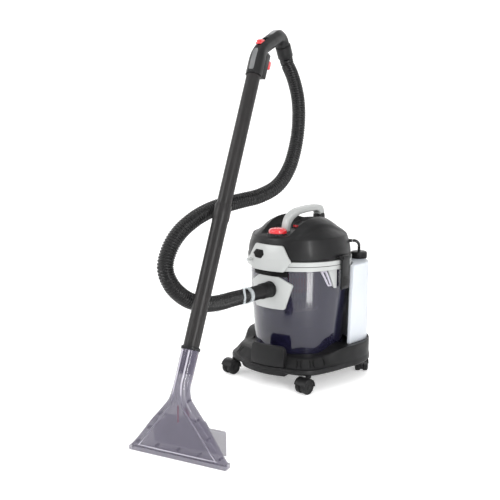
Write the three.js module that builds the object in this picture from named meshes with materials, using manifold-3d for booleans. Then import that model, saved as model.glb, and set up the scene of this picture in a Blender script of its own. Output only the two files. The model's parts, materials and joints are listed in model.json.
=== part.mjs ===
// Carpet cleaner machine: a drum cleaner on a caster dolly, with a clean water tank at the back,
// a suction hose and a two-tube wand that ends in a spray and suction nozzle.
// Millimetres, +Z up, floor at z = 0. The machine's front faces -Y.
import * as THREE from 'three';
import { mergeVertices } from 'three/addons/utils/BufferGeometryUtils.js';
import Module from 'manifold-3d';

const manifold = await Module();
manifold.setup();

// ---- driving dimensions ------------------------------------------------------------------
const GAP = 0.4;                 // clearance between touching pieces
const ROUND = 36;                // sides of a full-size round body
const FINE = 18;                 // sides of a small round piece

const WHEEL_RADIUS = 22.5;
const CASTER_TRAIL = 18;
const CASTER_OFFSET = 145;       // caster pivots stand at +-X and +-Y of this
const BASE_BOTTOM = 50.5;
const BASE_WALL_TOP = 66;
const BASE_FRONT_TOP = 97;       // top of the rim in front
const BASE_REAR_TOP = 118;       // top of the wall round the tank's bay
const BAY_FLOOR = 95;
const POCKET_FLOOR = 66;
const BASE_SIDES = 44;
const BASE_OUTLINE = [[0, 197], [25, 201], [45, 222], [64, 203], [84, 197], [101, 210], [120, 226],
  [150, 228], [180, 227]];       // degrees from the front, and radius
const PLATE_ANGLE = 6.5;         // degrees that the front plate stands off the middle

const DRUM_BOTTOM = 70;
const DRUM_TOP = 384;
const DRUM_RADIUS = 153;
const DRUM_WALL = 3;
const COLLAR_LOW = 358;
const COLLAR_TOP = 386;
const COLLAR_RADIUS = 164.5;
const HEAD_BOTTOM = 390;
const HEAD_RADIUS = 161;
const HEAD_WALL = 3;

const INLET_X = 8;
const INLET_Z = 298;
const HOSE_RADIUS = 20;

const TANK_INNER = 167;
const TANK_BOTTOM = 97.5;
const TANK_TOP = 362;
const TANK_START = 99.5;         // degrees from the front where the tank's ends stand
const END_LEAN = 3.3;            // degrees that the tank's ends lean back
const NECK_ANGLE = 141;
const NECK_RADIUS = 197;         // distance of the tank's neck from the machine's axis

const NOZZLE_X = 177.6;          // middle of the nozzle's lip on the floor
const NOZZLE_Y = -734.2;
const NOZZLE_TURN = 12.87;       // degrees that the lip is turned from the X axis
const LIP_HALF = 138;
const WAND_LEAN = 27;            // degrees from upright
const WAND_FOOT = -56.8;         // where the tube's axis meets the floor, from the lip
const NECK_END = 286;            // stations along the wand's axis
const JOINT_END = 666;
const SLEEVE_START = 1035;
const GRIP_RISE = 21.2;          // degrees that the grip rises above level
const GRIP_START = [0, 448, 992];
const LATCH_STATION = 268;
const LOWER_STATION = 650;
const UPPER_STATION = 1010;

// ---- materials ---------------------------------------------------------------------------
const FINISHES = {
  black: { color: '#2c2c2e', roughness: 0.5 },
  grey: { color: '#c8cac8', roughness: 0.4 },
  red: { color: '#d8343c', roughness: 0.35 },
  drum: { color: '#3a3848', roughness: 0.15, transparent: true, opacity: 0.7 },
  tank: { color: '#e8ebee', roughness: 0.45 },
  nozzle: { color: '#8a8592', roughness: 0.15, transparent: true, opacity: 0.6 },
  hose: { color: '#1d1d1f', roughness: 0.6 },
  clear: { color: '#dfe6ea', roughness: 0.1, transparent: true, opacity: 0.5 },
  steel: { color: '#9a9da1', roughness: 0.3, metalness: 1 },
  copper: { color: '#b06a3c', roughness: 0.4, metalness: 1 },
  mesh: { color: '#b8a9ad', roughness: 0.7 },
};

// ---- solids ------------------------------------------------------------------------------
const deg = THREE.MathUtils.degToRad;

// Position-only copy of a geometry with shared vertices merged.
function welded(geometry) {
  const bare = geometry.clone();
  bare.deleteAttribute('normal');
  bare.deleteAttribute('uv');
  return mergeVertices(bare, 1e-3);
}

// Signed volume: positive when the faces point outwards.
function signedVolume(geometry) {
  const points = geometry.getAttribute('position');
  const index = geometry.getIndex();
  const [a, b, c] = [new THREE.Vector3(), new THREE.Vector3(), new THREE.Vector3()];
  let total = 0;
  for (let i = 0; i < index.count; i += 3) {
    a.fromBufferAttribute(points, index.getX(i));
    b.fromBufferAttribute(points, index.getX(i + 1));
    c.fromBufferAttribute(points, index.getX(i + 2));
    total += a.dot(b.cross(c)) / 6;
  }
  return total;
}

// Closed body with its faces turned outwards and without flat slivers.
function solid(geometry) {
  const body = welded(geometry);
  const source = body.getIndex().array;
  const kept = [];
  for (let i = 0; i < source.length; i += 3) {
    const [p, q, r] = [source[i], source[i + 1], source[i + 2]];
    if (p !== q && q !== r && r !== p) {
      kept.push(p, q, r);
    }
  }
  body.setIndex(kept);
  if (signedVolume(body) < 0) {
    for (let i = 0; i < kept.length; i += 3) {
      [kept[i], kept[i + 1]] = [kept[i + 1], kept[i]];
    }
    body.setIndex(kept);
  }
  return body;
}

function toManifold(geometry) {
  const body = solid(geometry);
  return new manifold.Manifold(new manifold.Mesh({
    numProp: 3,
    vertProperties: Float32Array.from(body.getAttribute('position').array),
    triVerts: Uint32Array.from(body.getIndex().array),
  }));
}

function fromManifold(shape) {
  const mesh = shape.getMesh();
  const geometry = new THREE.BufferGeometry();
  geometry.setAttribute('position', new THREE.BufferAttribute(Float32Array.from(mesh.vertProperties), 3));
  geometry.setIndex(Array.from(mesh.triVerts));
  return geometry;
}

function combine(operation, first, others) {
  let result = toManifold(first);
  for (const other of others) {
    result = result[operation](toManifold(other));
  }
  return fromManifold(result);
}

const cut = (first, ...others) => combine('subtract', first, others);
const join = (first, ...others) => combine('add', first, others);
const overlap = (first, ...others) => combine('intersect', first, others);

// Body turned about Z from [radius, z] pairs. The outline closes on the axis or on itself.
function turned(outline, sides = ROUND) {
  const closed = outline[0][0] > 0 ? [...outline, outline[0]] : outline;
  const profile = closed.map(([radius, z]) => new THREE.Vector2(radius, z));
  return solid(new THREE.LatheGeometry(profile, sides).rotateX(Math.PI / 2));
}

function rod(radius, low, high, sides = FINE) {
  return turned([[0, low], [radius, low], [radius, high], [0, high]], sides);
}

function pipe(inner, outer, low, high, sides = FINE) {
  return turned([[inner, low], [outer, low], [outer, high], [inner, high]], sides);
}

function block(lowX, highX, lowY, highY, lowZ, highZ) {
  const box = new THREE.BoxGeometry(highX - lowX, highY - lowY, highZ - lowZ);
  return box.translate((lowX + highX) / 2, (lowY + highY) / 2, (lowZ + highZ) / 2);
}

// Outline of [x, y] pairs pushed up along Z.
function plate(outline, low, high) {
  const shape = new THREE.Shape(outline.map(([x, y]) => new THREE.Vector2(x, y)));
  const geometry = new THREE.ExtrudeGeometry(shape, { depth: high - low, bevelEnabled: false });
  return solid(geometry.translate(0, 0, low));
}

// Side view of [y, z] pairs, pushed out to both sides of the X = 0 plane.
function sideways(outline, halfWidth, middle = 0) {
  const turnedUp = plate(outline, -halfWidth, halfWidth);
  const toSideView = new THREE.Matrix4().makeBasis(
    new THREE.Vector3(0, 1, 0), new THREE.Vector3(0, 0, 1), new THREE.Vector3(1, 0, 0));
  return solid(turnedUp.applyMatrix4(toSideView).translate(middle, 0, 0));
}

// Skin through closed rings of points, capped at both ends.
function loft(rings) {
  const count = rings[0].length;
  const points = rings.flat();
  const faces = [];
  for (let k = 0; k + 1 < rings.length; k += 1) {
    for (let i = 0; i < count; i += 1) {
      const next = (i + 1) % count;
      const [a, b] = [k * count + i, k * count + next];
      faces.push(a, b, b + count, a, b + count, a + count);
    }
  }
  const last = points.length - count;
  for (let i = 1; i + 1 < count; i += 1) {
    faces.push(0, i + 1, i, last, last + i, last + i + 1);
  }
  const geometry = new THREE.BufferGeometry().setFromPoints(points);
  geometry.setIndex(faces);
  return solid(geometry);
}

// Round tube body along a curve.
function tube(curve, radius, steps, sides) {
  const section = new THREE.Shape();
  for (let i = 0; i < sides; i += 1) {
    const angle = (2 * Math.PI * i) / sides;
    const move = i === 0 ? 'moveTo' : 'lineTo';
    section[move](radius * Math.cos(angle), radius * Math.sin(angle));
  }
  section.closePath();
  return solid(new THREE.ExtrudeGeometry(section, { steps, extrudePath: curve }));
}

function through(points) {
  return new THREE.CatmullRomCurve3(points.map((point) => new THREE.Vector3(...point)), false, 'centripetal');
}

// Point on a circle round the machine's axis; 0 degrees is the front, +90 the +X side.
function around(angle, radius, z = 0) {
  return [radius * Math.sin(deg(angle)), -radius * Math.cos(deg(angle)), z];
}

// Body whose Z axis is laid along the direction that leads out of the machine at an angle.
function radial(geometry, angle, z) {
  return geometry.rotateX(Math.PI / 2).rotateZ(deg(angle)).translate(0, 0, z);
}

// Piece of a turned ring: the part that lies behind a flat outline of [across, z] pairs.
function ringPiece(ring, outline, angle = 0) {
  const front = sideways(outline, 60, 175);
  return overlap(ring, front.rotateZ(deg(angle - 90)));
}

const object = new THREE.Group();
const machine = new THREE.Group();
object.add(machine);
const cords = new Set(['suction_hose', 'spray_hose']);

function add(name, geometry, finish, parent = machine) {
  const mesh = new THREE.Mesh(solid(geometry), new THREE.MeshStandardMaterial(FINISHES[finish]));
  mesh.name = name;
  parent.add(mesh);
  return mesh;
}

// ---- dolly base --------------------------------------------------------------------------
// Level of the base. Front and rear each give a height and a share of the outline's radius, and
// the level climbs from one to the other along the sides.
function baseRing(front, rear = front, smallest = 0) {
  const left = BASE_OUTLINE.slice(1, -1).reverse().map(([angle, radius]) => [360 - angle, radius]);
  const corners = [...BASE_OUTLINE, ...left].map(([angle, radius]) => {
    const climb = THREE.MathUtils.smoothstep(Math.min(angle, 360 - angle), 58, 88);
    const height = THREE.MathUtils.lerp(front[0], rear[0], climb);
    const share = THREE.MathUtils.lerp(front[1], rear[1], climb);
    return new THREE.Vector3(...around(angle, Math.max(radius * share, smallest), height));
  });
  const curve = new THREE.CatmullRomCurve3(corners, true, 'centripetal');
  return curve.getSpacedPoints(BASE_SIDES).slice(0, BASE_SIDES);
}

// Outer form of the base, grown by a factor for cutting what stands on it.
function baseForm(growth = 1) {
  return loft([
    baseRing([BASE_BOTTOM, 0.985 * growth]),
    baseRing([BASE_BOTTOM + 4, growth]),
    baseRing([BASE_WALL_TOP - 4, growth]),
    baseRing([BASE_WALL_TOP, 0.985 * growth], [BASE_WALL_TOP, growth]),
    baseRing([BASE_FRONT_TOP, 0.86 * growth], [BASE_REAR_TOP, growth]),
    baseRing([BASE_FRONT_TOP, 0.5], [BASE_REAR_TOP, 0.5]),
  ]);
}

// Shell with a cup for the drum, a bay for the tank and a boss over each caster.
function makeBase() {
  const cup = rod(143, POCKET_FLOOR - 3, 130, ROUND);
  const hollow = loft([baseRing([40, 0.965]), baseRing([62, 0.965]), baseRing([91, 0.8], [91, 0.965], 155)]);
  const atPivots = (radius, low, high) => [45, 135, 225, 315].map((angle) => {
    return rod(radius, low, high, 16).translate(...around(angle, CASTER_OFFSET * Math.SQRT2));
  });
  const bay = crescent(TANK_START - 3, 184, 223.5, BAY_FLOOR, 125);
  const outside = cut(baseForm(), bay);
  const bosses = atPivots(11, BASE_BOTTOM, 93).map((boss) => overlap(boss, outside));
  const sockets = atPivots(5.8, BASE_BOTTOM - 1, 65);
  const skirt = ringPiece(pipe(186, 194, 42, BASE_WALL_TOP, ROUND), [[-92, 52], [-80, 42], [80, 42], [92, 52],
    [92, 64], [-92, 64]]);
  const shell = cut(outside, cut(hollow, cup));
  const drumPocket = join(rod(138.6, POCKET_FLOOR + 3, 130, ROUND), rod(150, BASE_FRONT_TOP, 130, ROUND));
  return cut(join(shell, ...bosses, skirt), drumPocket, ...sockets);
}

// Upright body between an outer curve and the tank's inner radius, round the back of the machine.
function crescent(start, outerEnd, outerBack, low, high, inner = 0) {
  const outline = [];
  const finish = 360 - start;
  const steps = 18;
  for (let i = 0; i <= steps; i += 1) {
    const angle = start + ((finish - start) * i) / steps;
    const fromEnd = Math.min(angle - start, finish - angle);
    const swell = THREE.MathUtils.smoothstep(fromEnd, 0, 34);
    outline.push(around(angle, outerEnd + (outerBack - outerEnd) * swell));
  }
  for (let i = steps; i >= 0 && inner > 0; i -= 1) {
    outline.push(around(start + ((finish - start) * i) / steps, inner));
  }
  return plate(outline, low, high);
}

add('dolly_base', makeBase(), 'black');
const plateRing = turned([[165, 71], [199, 71], [192, 134], [187.5, 134]]);
const plateOutline = [[-58, 60], [58, 60], [58, 120], [50, 134], [-50, 134], [-58, 120]];
add('front_plate', cut(ringPiece(plateRing, plateOutline, PLATE_ANGLE), baseForm(1.005)), 'black');

// ---- casters -----------------------------------------------------------------------------
const CASTERS = [['front_right', 45, -5], ['front_left', 315, -5], ['rear_right', 135, 40],
  ['rear_left', 225, 20]];

function makeCasterHousing() {
  const fork = rod(19, -3.6, 3.6, 14).rotateY(Math.PI / 2);
  const axle = rod(3, -20.5, 20.5, 12).rotateY(Math.PI / 2);
  const arc = (radius) => [0, 1, 2, 3, 4, 5, 6, 7].map((i) => {
    const angle = deg(-5 + 24 * i);
    return [radius * Math.cos(angle), radius * Math.sin(angle)];
  });
  const cover = sideways([...arc(26), ...arc(23.6).reverse()], 20.5);
  const web = sideways([[15, 0], [24.5, 2], [20, 16], [0, 24.5], [-10, 22], [-10, 5]], 3.6);
  const rolling = join(fork, axle, cover, web).translate(0, -CASTER_TRAIL, WHEEL_RADIUS);
  const stem = join(rod(9, 44.6, 50, 16), rod(5.4, 49, 64, 16), block(-3.6, 3.6, -20, 4, 36, 46));
  return join(rolling, stem);
}

function makeWheel(side) {
  const profile = [[3.4, 4.6], [20, 4.6], [WHEEL_RADIUS, 7], [WHEEL_RADIUS, 17], [20, 19.6], [3.4, 19.6]];
  const wheel = turned(profile, 18).rotateY(Math.PI / 2);
  return wheel.rotateY(side > 0 ? 0 : Math.PI).translate(0, -CASTER_TRAIL, WHEEL_RADIUS);
}

for (const [place, angle, trail] of CASTERS) {
  const caster = new THREE.Group();
  caster.position.set(...around(angle, CASTER_OFFSET * Math.SQRT2));
  caster.rotation.z = deg(trail);
  machine.add(caster);
  add(`caster_${place}`, makeCasterHousing(), 'black', caster);
  add(`wheel_${place}_a`, makeWheel(1), 'black', caster);
  add(`wheel_${place}_b`, makeWheel(-1), 'black', caster);
}

// ---- drum, collar and inlet --------------------------------------------------------------
const inletHole = (radius) => rod(radius, 120, 190).rotateX(Math.PI / 2).translate(INLET_X, 0, INLET_Z);

const drumWall = turned([
  [0, DRUM_BOTTOM], [132, DRUM_BOTTOM], [135.5, 74], [137, 92], [DRUM_RADIUS - 1, 280],
  [DRUM_RADIUS, 330], [DRUM_RADIUS, DRUM_TOP], [DRUM_RADIUS - DRUM_WALL, DRUM_TOP],
  [DRUM_RADIUS - DRUM_WALL, 330], [DRUM_RADIUS - DRUM_WALL - 1, 280], [134, 92], [131, 75],
  [0, DRUM_BOTTOM + DRUM_WALL],
]);
add('waste_drum', cut(drumWall, inletHole(18)), 'drum');

const collarRing = pipe(DRUM_RADIUS + GAP, COLLAR_RADIUS, COLLAR_LOW, COLLAR_TOP, ROUND);
const tabRing = pipe(DRUM_RADIUS + GAP, 158, 300, COLLAR_LOW + 2, ROUND);
const frontTab = [[20.5, 359], [20.5, 300], [29, 300], [54, 359]];
const backTab = frontTab.map(([across, z]) => [-across, z]);
const tabs = [90, -90].flatMap((angle) => [
  ringPiece(tabRing, frontTab, angle),
  ringPiece(tabRing, backTab, angle),
]);
add('drum_collar', join(collarRing, ...tabs), 'grey');

const panelRing = pipe(DRUM_RADIUS + GAP, 158.5, 236, 340, ROUND);
const lowerPanel = ringPiece(panelRing, [[-38, 338], [38, 338], [76, 315], [54, 238], [-54, 238], [-76, 315]]);
add('inlet_panel', cut(lowerPanel, inletHole(18)), 'grey');

// The inlet stands on the drum with its axis along -Y.
const alongFront = (geometry) => geometry.rotateX(Math.PI / 2).translate(INLET_X, 0, INLET_Z);
add('inlet_socket', alongFront(turned([
  [14, 136], [17.3, 136], [17.3, 159.5], [25, 159.5], [25, 163], [17.3, 163], [17.3, 190], [14, 190],
], FINE)), 'black');
add('inlet_cuff', alongFront(turned([
  [17.8, 163.5], [23, 163.5], [23, 205], [21.5, 208], [21.5, 255], [17, 255], [17, 195], [17.8, 193],
], FINE)), 'black');

// ---- head --------------------------------------------------------------------------------
// Outer form of the head, grown by an offset. A valley for the hand runs under the carry handle.
function headForm(offset) {
  const dome = turned([
    [0, HEAD_BOTTOM - 1], [HEAD_RADIUS + offset, HEAD_BOTTOM - 1], [HEAD_RADIUS + offset, 402],
    [158.5 + offset, 418], [152 + offset, 440], [147 + offset, 453 + offset], [137 + offset, 461 + offset],
    [118 + offset, 474 + offset], [96 + offset, 490 + offset], [72, 502.5 + offset], [46, 510 + offset],
    [0, 513 + offset],
  ]);
  const half = 56 - offset;
  const valley = sideways([
    [-180, 458 + offset], [-146, 458 + offset], [-50, 469 + offset], [62, 474 + offset],
    [96 - offset, 498 + offset], [100 - offset, 560], [-180, 560],
  ], half);
  return cut(dome, valley);
}

const buttonWell = rod(28.5, 440, 500, FINE).translate(0, -112, 0);
const switchWell = block(-9, 9, -24, -4, 455, 500);
const hollowHead = cut(headForm(0), headForm(-HEAD_WALL).translate(0, 0, -0.01));
const headBottom = rod(HEAD_RADIUS - HEAD_WALL, HEAD_BOTTOM - 2, HEAD_BOTTOM + 6, ROUND);
add('head_cover', cut(hollowHead, headBottom, buttonWell, switchWell,
  rod(200, HEAD_BOTTOM - 2, HEAD_BOTTOM, ROUND)), 'black');

add('head_tray', turned([
  [0, 380], [146, 380], [146, 387.5], [157, 387.5], [157, 393], [142, 393], [142, 384], [0, 384],
]), 'black');

const upperRing = turned([
  [COLLAR_RADIUS + 1.5, 356], [172, 356], [172, 392], [163, 434], [157.5, 434], [COLLAR_RADIUS + 1.5, 399],
]);
const upperPanel = ringPiece(upperRing, [[-50, 434], [50, 434], [78, 388], [59, 356], [-59, 356], [-78, 388]]);
const portAngle = -11;
const portHole = [[-26, 404], [-13, 417], [18, 417], [24, 404], [15, 391], [-13, 391]];
const portCut = ringPiece(pipe(140, 190, 380, 430, ROUND), portHole, portAngle);
add('head_panel', cut(upperPanel, portCut), 'grey');
const portPlug = portHole.map(([across, z]) => [across * 0.96, 404 + (z - 404) * 0.96]);
add('spray_port', ringPiece(pipe(HEAD_RADIUS + GAP, 167, 385, 425, ROUND), portPlug, portAngle), 'black');

const handleSide = [
  [-84, 455], [-82, 478], [-74, 502], [-56, 518], [-30, 528], [20, 534], [92, 533.5], [108, 528], [116, 510],
  [115, 478], [92, 478], [92, 498], [84, 511], [20, 514.5], [-24, 508], [-46, 497], [-58, 480], [-60, 455],
];
const handleSpan = sideways(handleSide, 15.5);
add('carry_handle', cut(handleSpan, headForm(GAP)), 'grey');

add('power_button', rod(28, 455, 477, FINE).translate(0, -112, 0), 'red');
add('pump_switch', sideways([[-23, 462], [-5, 462], [-5, 474], [-14, 476], [-23, 479]], 8.4), 'red');

add('motor_housing', turned([
  [44, 384.4], [64, 384.4], [64, 448], [30, 452], [30, 449], [61, 445], [61, 387.4], [44, 387.4],
], ROUND), 'black');
add('motor_stator', pipe(27, 54, 420, 444, FINE), 'copper');
add('motor_armature', join(rod(25, 422, 442), rod(4, 400, 447, 12)), 'steel');
const blades = [0, 60, 120].map((angle) => {
  return block(-42, 42, -1.2, 1.2, 401.5, 412).rotateZ(deg(angle));
});
add('impeller', cut(join(rod(48, 400, 402), rod(9, 400, 414, 16), ...blades), rod(4.3, 390, 430, 12)), 'steel');
add('pump_unit', join(rod(20, 384.4, 420), block(-12, 12, 10, 34, 384.4, 412)).translate(94, 40, 0), 'black');

const cageWall = turned([[0, 212], [64, 212], [64, 379.5], [61.5, 379.5], [61.5, 214.5], [0, 214.5]]);
const cageSlots = [0, 45, 90, 135].map((angle) => block(-80, 80, -15, 15, 232, 350).rotateZ(deg(angle)));
add('filter_cage', cut(cageWall, ...cageSlots), 'mesh');
add('float_cup', turned([
  [33, 266], [36, 266], [36, 302], [29, 319], [0, 322], [0, 319], [27, 316], [33, 301],
], FINE), 'red');

// ---- latches -----------------------------------------------------------------------------
const LATCH_PIVOT = [173, 394];
for (const [side, turn] of [['right', 0], ['left', Math.PI]]) {
  const [pivotX, pivotZ] = LATCH_PIVOT;
  const placed = (geometry) => geometry.rotateZ(turn);
  const profile = [[167, 296], [174.5, 296], [176.5, 310], [176.5, 384], [180, 392], [179, 399], [172, 401],
    [166.4, 397], [166.4, 388], [170, 384], [170, 310]];
  const lever = sideways(profile, 19).rotateZ(-Math.PI / 2);
  const bore = rod(3.5, -30, 30, 16).rotateX(Math.PI / 2).translate(pivotX, 0, pivotZ);
  add(`latch_${side}`, placed(cut(lever.clone(), bore)), 'black');
  const pin = rod(3, -24, 24, 12).rotateX(Math.PI / 2).translate(pivotX, 0, pivotZ);
  const ears = [-22.2, 22.2].map((y) => block(161.8, 177, y - 2.4, y + 2.4, 389, 399.5));
  add(`latch_pin_${side}`, placed(join(pin, ...ears)), 'black');
}

// ---- clean water tank --------------------------------------------------------------------
const [neckX, neckY] = around(NECK_ANGLE, NECK_RADIUS);
// Blocks in front of the tank's two ends, which lean back towards the top.
const beforeEnds = (gap) => [-1, 1].map((side) => {
  const before = side > 0 ? block(150, 240, -60, gap, -10, 300) : block(-240, -150, -60, gap, -10, 300);
  return before.rotateX(-deg(END_LEAN)).rotateZ(side * deg(TANK_START - 90)).translate(0, 0, TANK_BOTTOM);
});
const tankOuter = cut(crescent(TANK_START, 181, 221.5, TANK_BOTTOM, TANK_TOP, TANK_INNER), ...beforeEnds(0));
const tankInner = cut(crescent(TANK_START, 178, 218.5, TANK_BOTTOM + 3, TANK_TOP - 3, TANK_INNER + 3),
  ...beforeEnds(3.5));
const neck = rod(19.5, TANK_TOP - 4, 377).translate(neckX, neckY, 0);
const neckBore = rod(16, TANK_TOP - 8, 380).translate(neckX, neckY, 0);
add('clean_tank', cut(join(tankOuter, neck), tankInner, neckBore), 'tank');
add('tank_cap', turned([
  [0, 386], [24, 386], [26, 383], [26, 365], [20.2, 365], [20.2, 380], [0, 380],
]).translate(neckX, neckY, 0), 'black');
const spigotAngle = 122;
add('pickup_spigot', cut(radial(rod(5, 148, 165, 12), spigotAngle, 430), headForm(GAP)), 'black');
add('pickup_tube', tube(through([around(spigotAngle, 166.4, 430), around(122.5, 172, 430), around(127, 180, 425),
  around(133, 189, 414), [neckX, neckY, 400], [neckX, neckY, 386.6]]), 3.6, 14, 8), 'black');

// ---- wand --------------------------------------------------------------------------------
const wand = new THREE.Group();
wand.position.set(NOZZLE_X, NOZZLE_Y, 0);
wand.rotation.z = deg(NOZZLE_TURN);
machine.add(wand);
const stick = new THREE.Group();
stick.position.set(0, WAND_FOOT, 0);
stick.rotation.x = -deg(WAND_LEAN);
wand.add(stick);

// Block on the wand's underside at a station along its axis. Each press has a window under it.
function onStick(station, low, high, halfWidth, halfLength) {
  return block(-halfWidth, halfWidth, low, high, station - halfLength, station + halfLength);
}

// Turns a piece laid out along the wand's axis into the wand group's frame.
function onWand(geometry) {
  return geometry.rotateX(-deg(WAND_LEAN)).translate(0, WAND_FOOT, 0);
}

// Ring of points: a circle across the wand's axis, or a round-cornered slot at a level.
const RING_POINTS = 20;
function circleRing(station, radius) {
  const points = [];
  for (let i = 0; i < RING_POINTS; i += 1) {
    const angle = (2 * Math.PI * i) / RING_POINTS;
    const point = new THREE.Vector3(radius * Math.cos(angle), radius * Math.sin(angle), station);
    points.push(point.applyAxisAngle(new THREE.Vector3(1, 0, 0), -deg(WAND_LEAN)).add(
      new THREE.Vector3(0, WAND_FOOT, 0)));
  }
  return points;
}

function slotRing(z, halfWidth, front, back, squareness) {
  const points = [];
  for (let i = 0; i < RING_POINTS; i += 1) {
    const angle = (2 * Math.PI * i) / RING_POINTS;
    const [c, s] = [Math.cos(angle), Math.sin(angle)];
    const reach = (value) => Math.sign(value) * Math.abs(value) ** (1 / squareness);
    const middle = (front + back) / 2;
    points.push(new THREE.Vector3(halfWidth * reach(c), middle + ((back - front) / 2) * reach(s), z));
  }
  return points;
}

function fan(offset, top, bottom) {
  return loft([
    slotRing(bottom, LIP_HALF - 3 + offset, 1 - offset, 21 + offset, 4),
    slotRing(45, 108 + offset, 0.5 - offset, 29 + offset, 3.2),
    slotRing(85, 78 + offset, 0.5 - offset, 36 + offset, 2.4),
    slotRing(120, 49 + offset, 0.8 - offset, 41 + offset, 1.6),
    slotRing(146, 30 + offset, 2 - offset, 44 + offset, 1.1),
    circleRing(196, 22 + offset),
    circleRing(top, 22 + offset),
  ]);
}

add('nozzle_shell', cut(
  fan(0, NECK_END, 12.4),
  fan(-2.3, NECK_END - 45, 12),
  loft([circleRing(NECK_END - 46, 19.7), circleRing(NECK_END + 1, 19.7)]),
  onWand(onStick(LATCH_STATION, 12, 30, 7.6, 13.6)),
), 'nozzle', wand);
add('nozzle_lip', cut(
  block(-LIP_HALF, LIP_HALF, -1, 23, 0, 12),
  block(-LIP_HALF + 6, LIP_HALF - 6, 4, 18, -1, 13),
), 'nozzle', wand);
add('spray_guard', cut(
  sideways([[40, 92], [43, 94], [66, 62], [64, 22], [61.5, 22], [63, 61]], 104),
  block(-120, -60, 38, 60, 70, 100),
  block(60, 120, 38, 60, 70, 100),
), 'nozzle', wand);
add('spray_jet', join(
  rod(6, -12, 12, 16).rotateX(deg(25)).translate(0, 52, 101),
  block(-5, 5, 43.5, 52, 97, 107),
), 'red', wand);
add('spray_line', tube(through([[0, 74.5, 200], [0, 66, 180], [0, 54.5, 152], [0, 50.6, 134], [0, 46.9, 114.6]]), 3, 8, 8),
  'clear', wand);

const lowerTube = turned([
  [17.6, 245], [19.3, 245], [19.3, NECK_END + GAP], [19.9, NECK_END + GAP], [20.4, 620], [22, 628],
  [22, JOINT_END], [19.4, JOINT_END], [19.4, 640], [17.6, 634],
], FINE);
add('lower_tube', cut(lowerTube, onStick(LOWER_STATION, 10, 30, 6.6, 9.6)), 'black', stick);
const upperTube = turned([[15.6, 642], [19, 642], [19, 1062], [16.5, 1062], [16.5, 660], [15.6, 652]], FINE);
add('upper_tube', cut(upperTube, onStick(UPPER_STATION, 10, 30, 6.6, 13.6)), 'black', stick);

add('nozzle_latch', onStick(LATCH_STATION, 22.8, 29, 7, 13), 'red', stick);
add('lower_tube_button', onStick(LOWER_STATION, 22.8, 28.5, 6, 9), 'black', stick);
add('upper_tube_button', onStick(UPPER_STATION, 19.8, 26, 6, 13), 'black', stick);

const ELBOW_END = new THREE.Vector3(0, 598, 1014);
const handlePath = through([
  [0, 413.6, 923.3], [0, 424, 943.7], [0, 434.6, 964.5], [0, 446, 983], [0, 464, 997], [0, 494, 1010],
  [0, 528, 1023], [0, 556, 1033], [0, 576, 1034], [0, 590, 1026], ELBOW_END.toArray(),
]);
const elbowDown = handlePath.getTangent(1);
const alongElbow = (geometry) => {
  const turn = new THREE.Quaternion().setFromUnitVectors(new THREE.Vector3(0, 0, 1), elbowDown);
  return geometry.applyQuaternion(turn).translate(...ELBOW_END.toArray());
};
const gripCurve = tube(handlePath, 19.5, 22, 14);
const sleeve = onWand(rod(22, SLEEVE_START, 1086, FINE));
const sleeveBore = onWand(rod(19.5, SLEEVE_START - 4, 1063, FINE));
const onGrip = (geometry) => geometry.rotateX(deg(GRIP_RISE)).translate(...GRIP_START);
const sliderSlot = onGrip(block(-6, 6, 30, 46, 10, 24));
const sliderSeat = onGrip(block(-9, 9, -2, 50, 16.5, 30));
const elbowBore = alongElbow(rod(14, -14, 4, 16));
add('handle_grip', cut(join(gripCurve, sleeve), sleeveBore, sliderSeat, sliderSlot, elbowBore), 'black', wand);
add('suction_slider', onGrip(join(block(-8, 8, 0, 26, 17, 20.5), block(-7, 7, 8, 18, 20, 25))), 'red', wand);
add('handle_cuff', alongElbow(turned([
  [9, -12], [13.4, -12], [13.4, GAP], [22, GAP], [22, 36], [9, 36],
], FINE)), 'black', wand);

// Valve box under the handle, cut to the handle's form, with the spray trigger in its pocket.
add('valve_box', cut(
  onWand(onStick(1086, 22.6, 46, 12, 36)),
  onWand(onStick(1100, 29, 50, 7.6, 9.6)),
  tube(handlePath, 20.4, 22, 14),
), 'black', wand);
add('spray_trigger', onWand(join(
  onStick(1100, 36.5, 48, 7, 9),
  onStick(1102, 46, 66, 6, 6),
)), 'red', wand);

// ---- hoses -------------------------------------------------------------------------------
wand.updateMatrixWorld(true);
const hoseEnd = ELBOW_END.clone().addScaledVector(elbowDown, 36.5).applyMatrix4(wand.matrixWorld);
const hoseLeave = ELBOW_END.clone().addScaledVector(elbowDown, 62).applyMatrix4(wand.matrixWorld);
const HOSE_ROUTE = [
  [INLET_X, -256, INLET_Z], [INLET_X, -286, INLET_Z], [17, -340, 302], [38, -428, 310], [54, -505, 325],
  [59, -574, 353], [54, -618, 394], [47, -632, 437], [48, -622, 479], [53, -593, 521], [61, -538, 557],
  [70, -473, 579], [80, -430, 587], [89, -390, 593], [108, -330, 603], [122, -272, 627], [124, -222, 672],
  [119, -184, 737], [111, -161, 806], [92, -142, 871], [62, -128, 930], hoseLeave.toArray(), hoseEnd.toArray(),
];
add('suction_hose', tube(through(HOSE_ROUTE), HOSE_RADIUS, 30, 10), 'hose');

const SPRAY_ROUTE = [
  [-64, -182, 384], [-69, -203, 375], [-67, -228, 358], [-62, -262, 338], [-58, -290, 316], [-54, -318, 290],
  [-44, -340, 264], [-22, -352, 246], [4, -352, 243], [28, -342, 254], [41, -326, 276], [38, -311, 300],
  [33, -309, 324], [24, -300, 336], [17, -286, 339],
];
add('spray_hose', tube(through(SPRAY_ROUTE), 3.3, 26, 8), 'clear');

// The spray hose is plugged into a nozzle at the left tip of the upper panel. Its other end goes
// into a clip round the suction hose, where the spray line enters that hose.
function fitting(radius, from, towards) {
  const axis = towards.clone().sub(from);
  const length = axis.length();
  const turn = new THREE.Quaternion().setFromUnitVectors(new THREE.Vector3(0, 0, 1), axis.normalize());
  return rod(radius, 0, length - 1.6, 12).applyQuaternion(turn).translate(...from.toArray());
}

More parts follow.
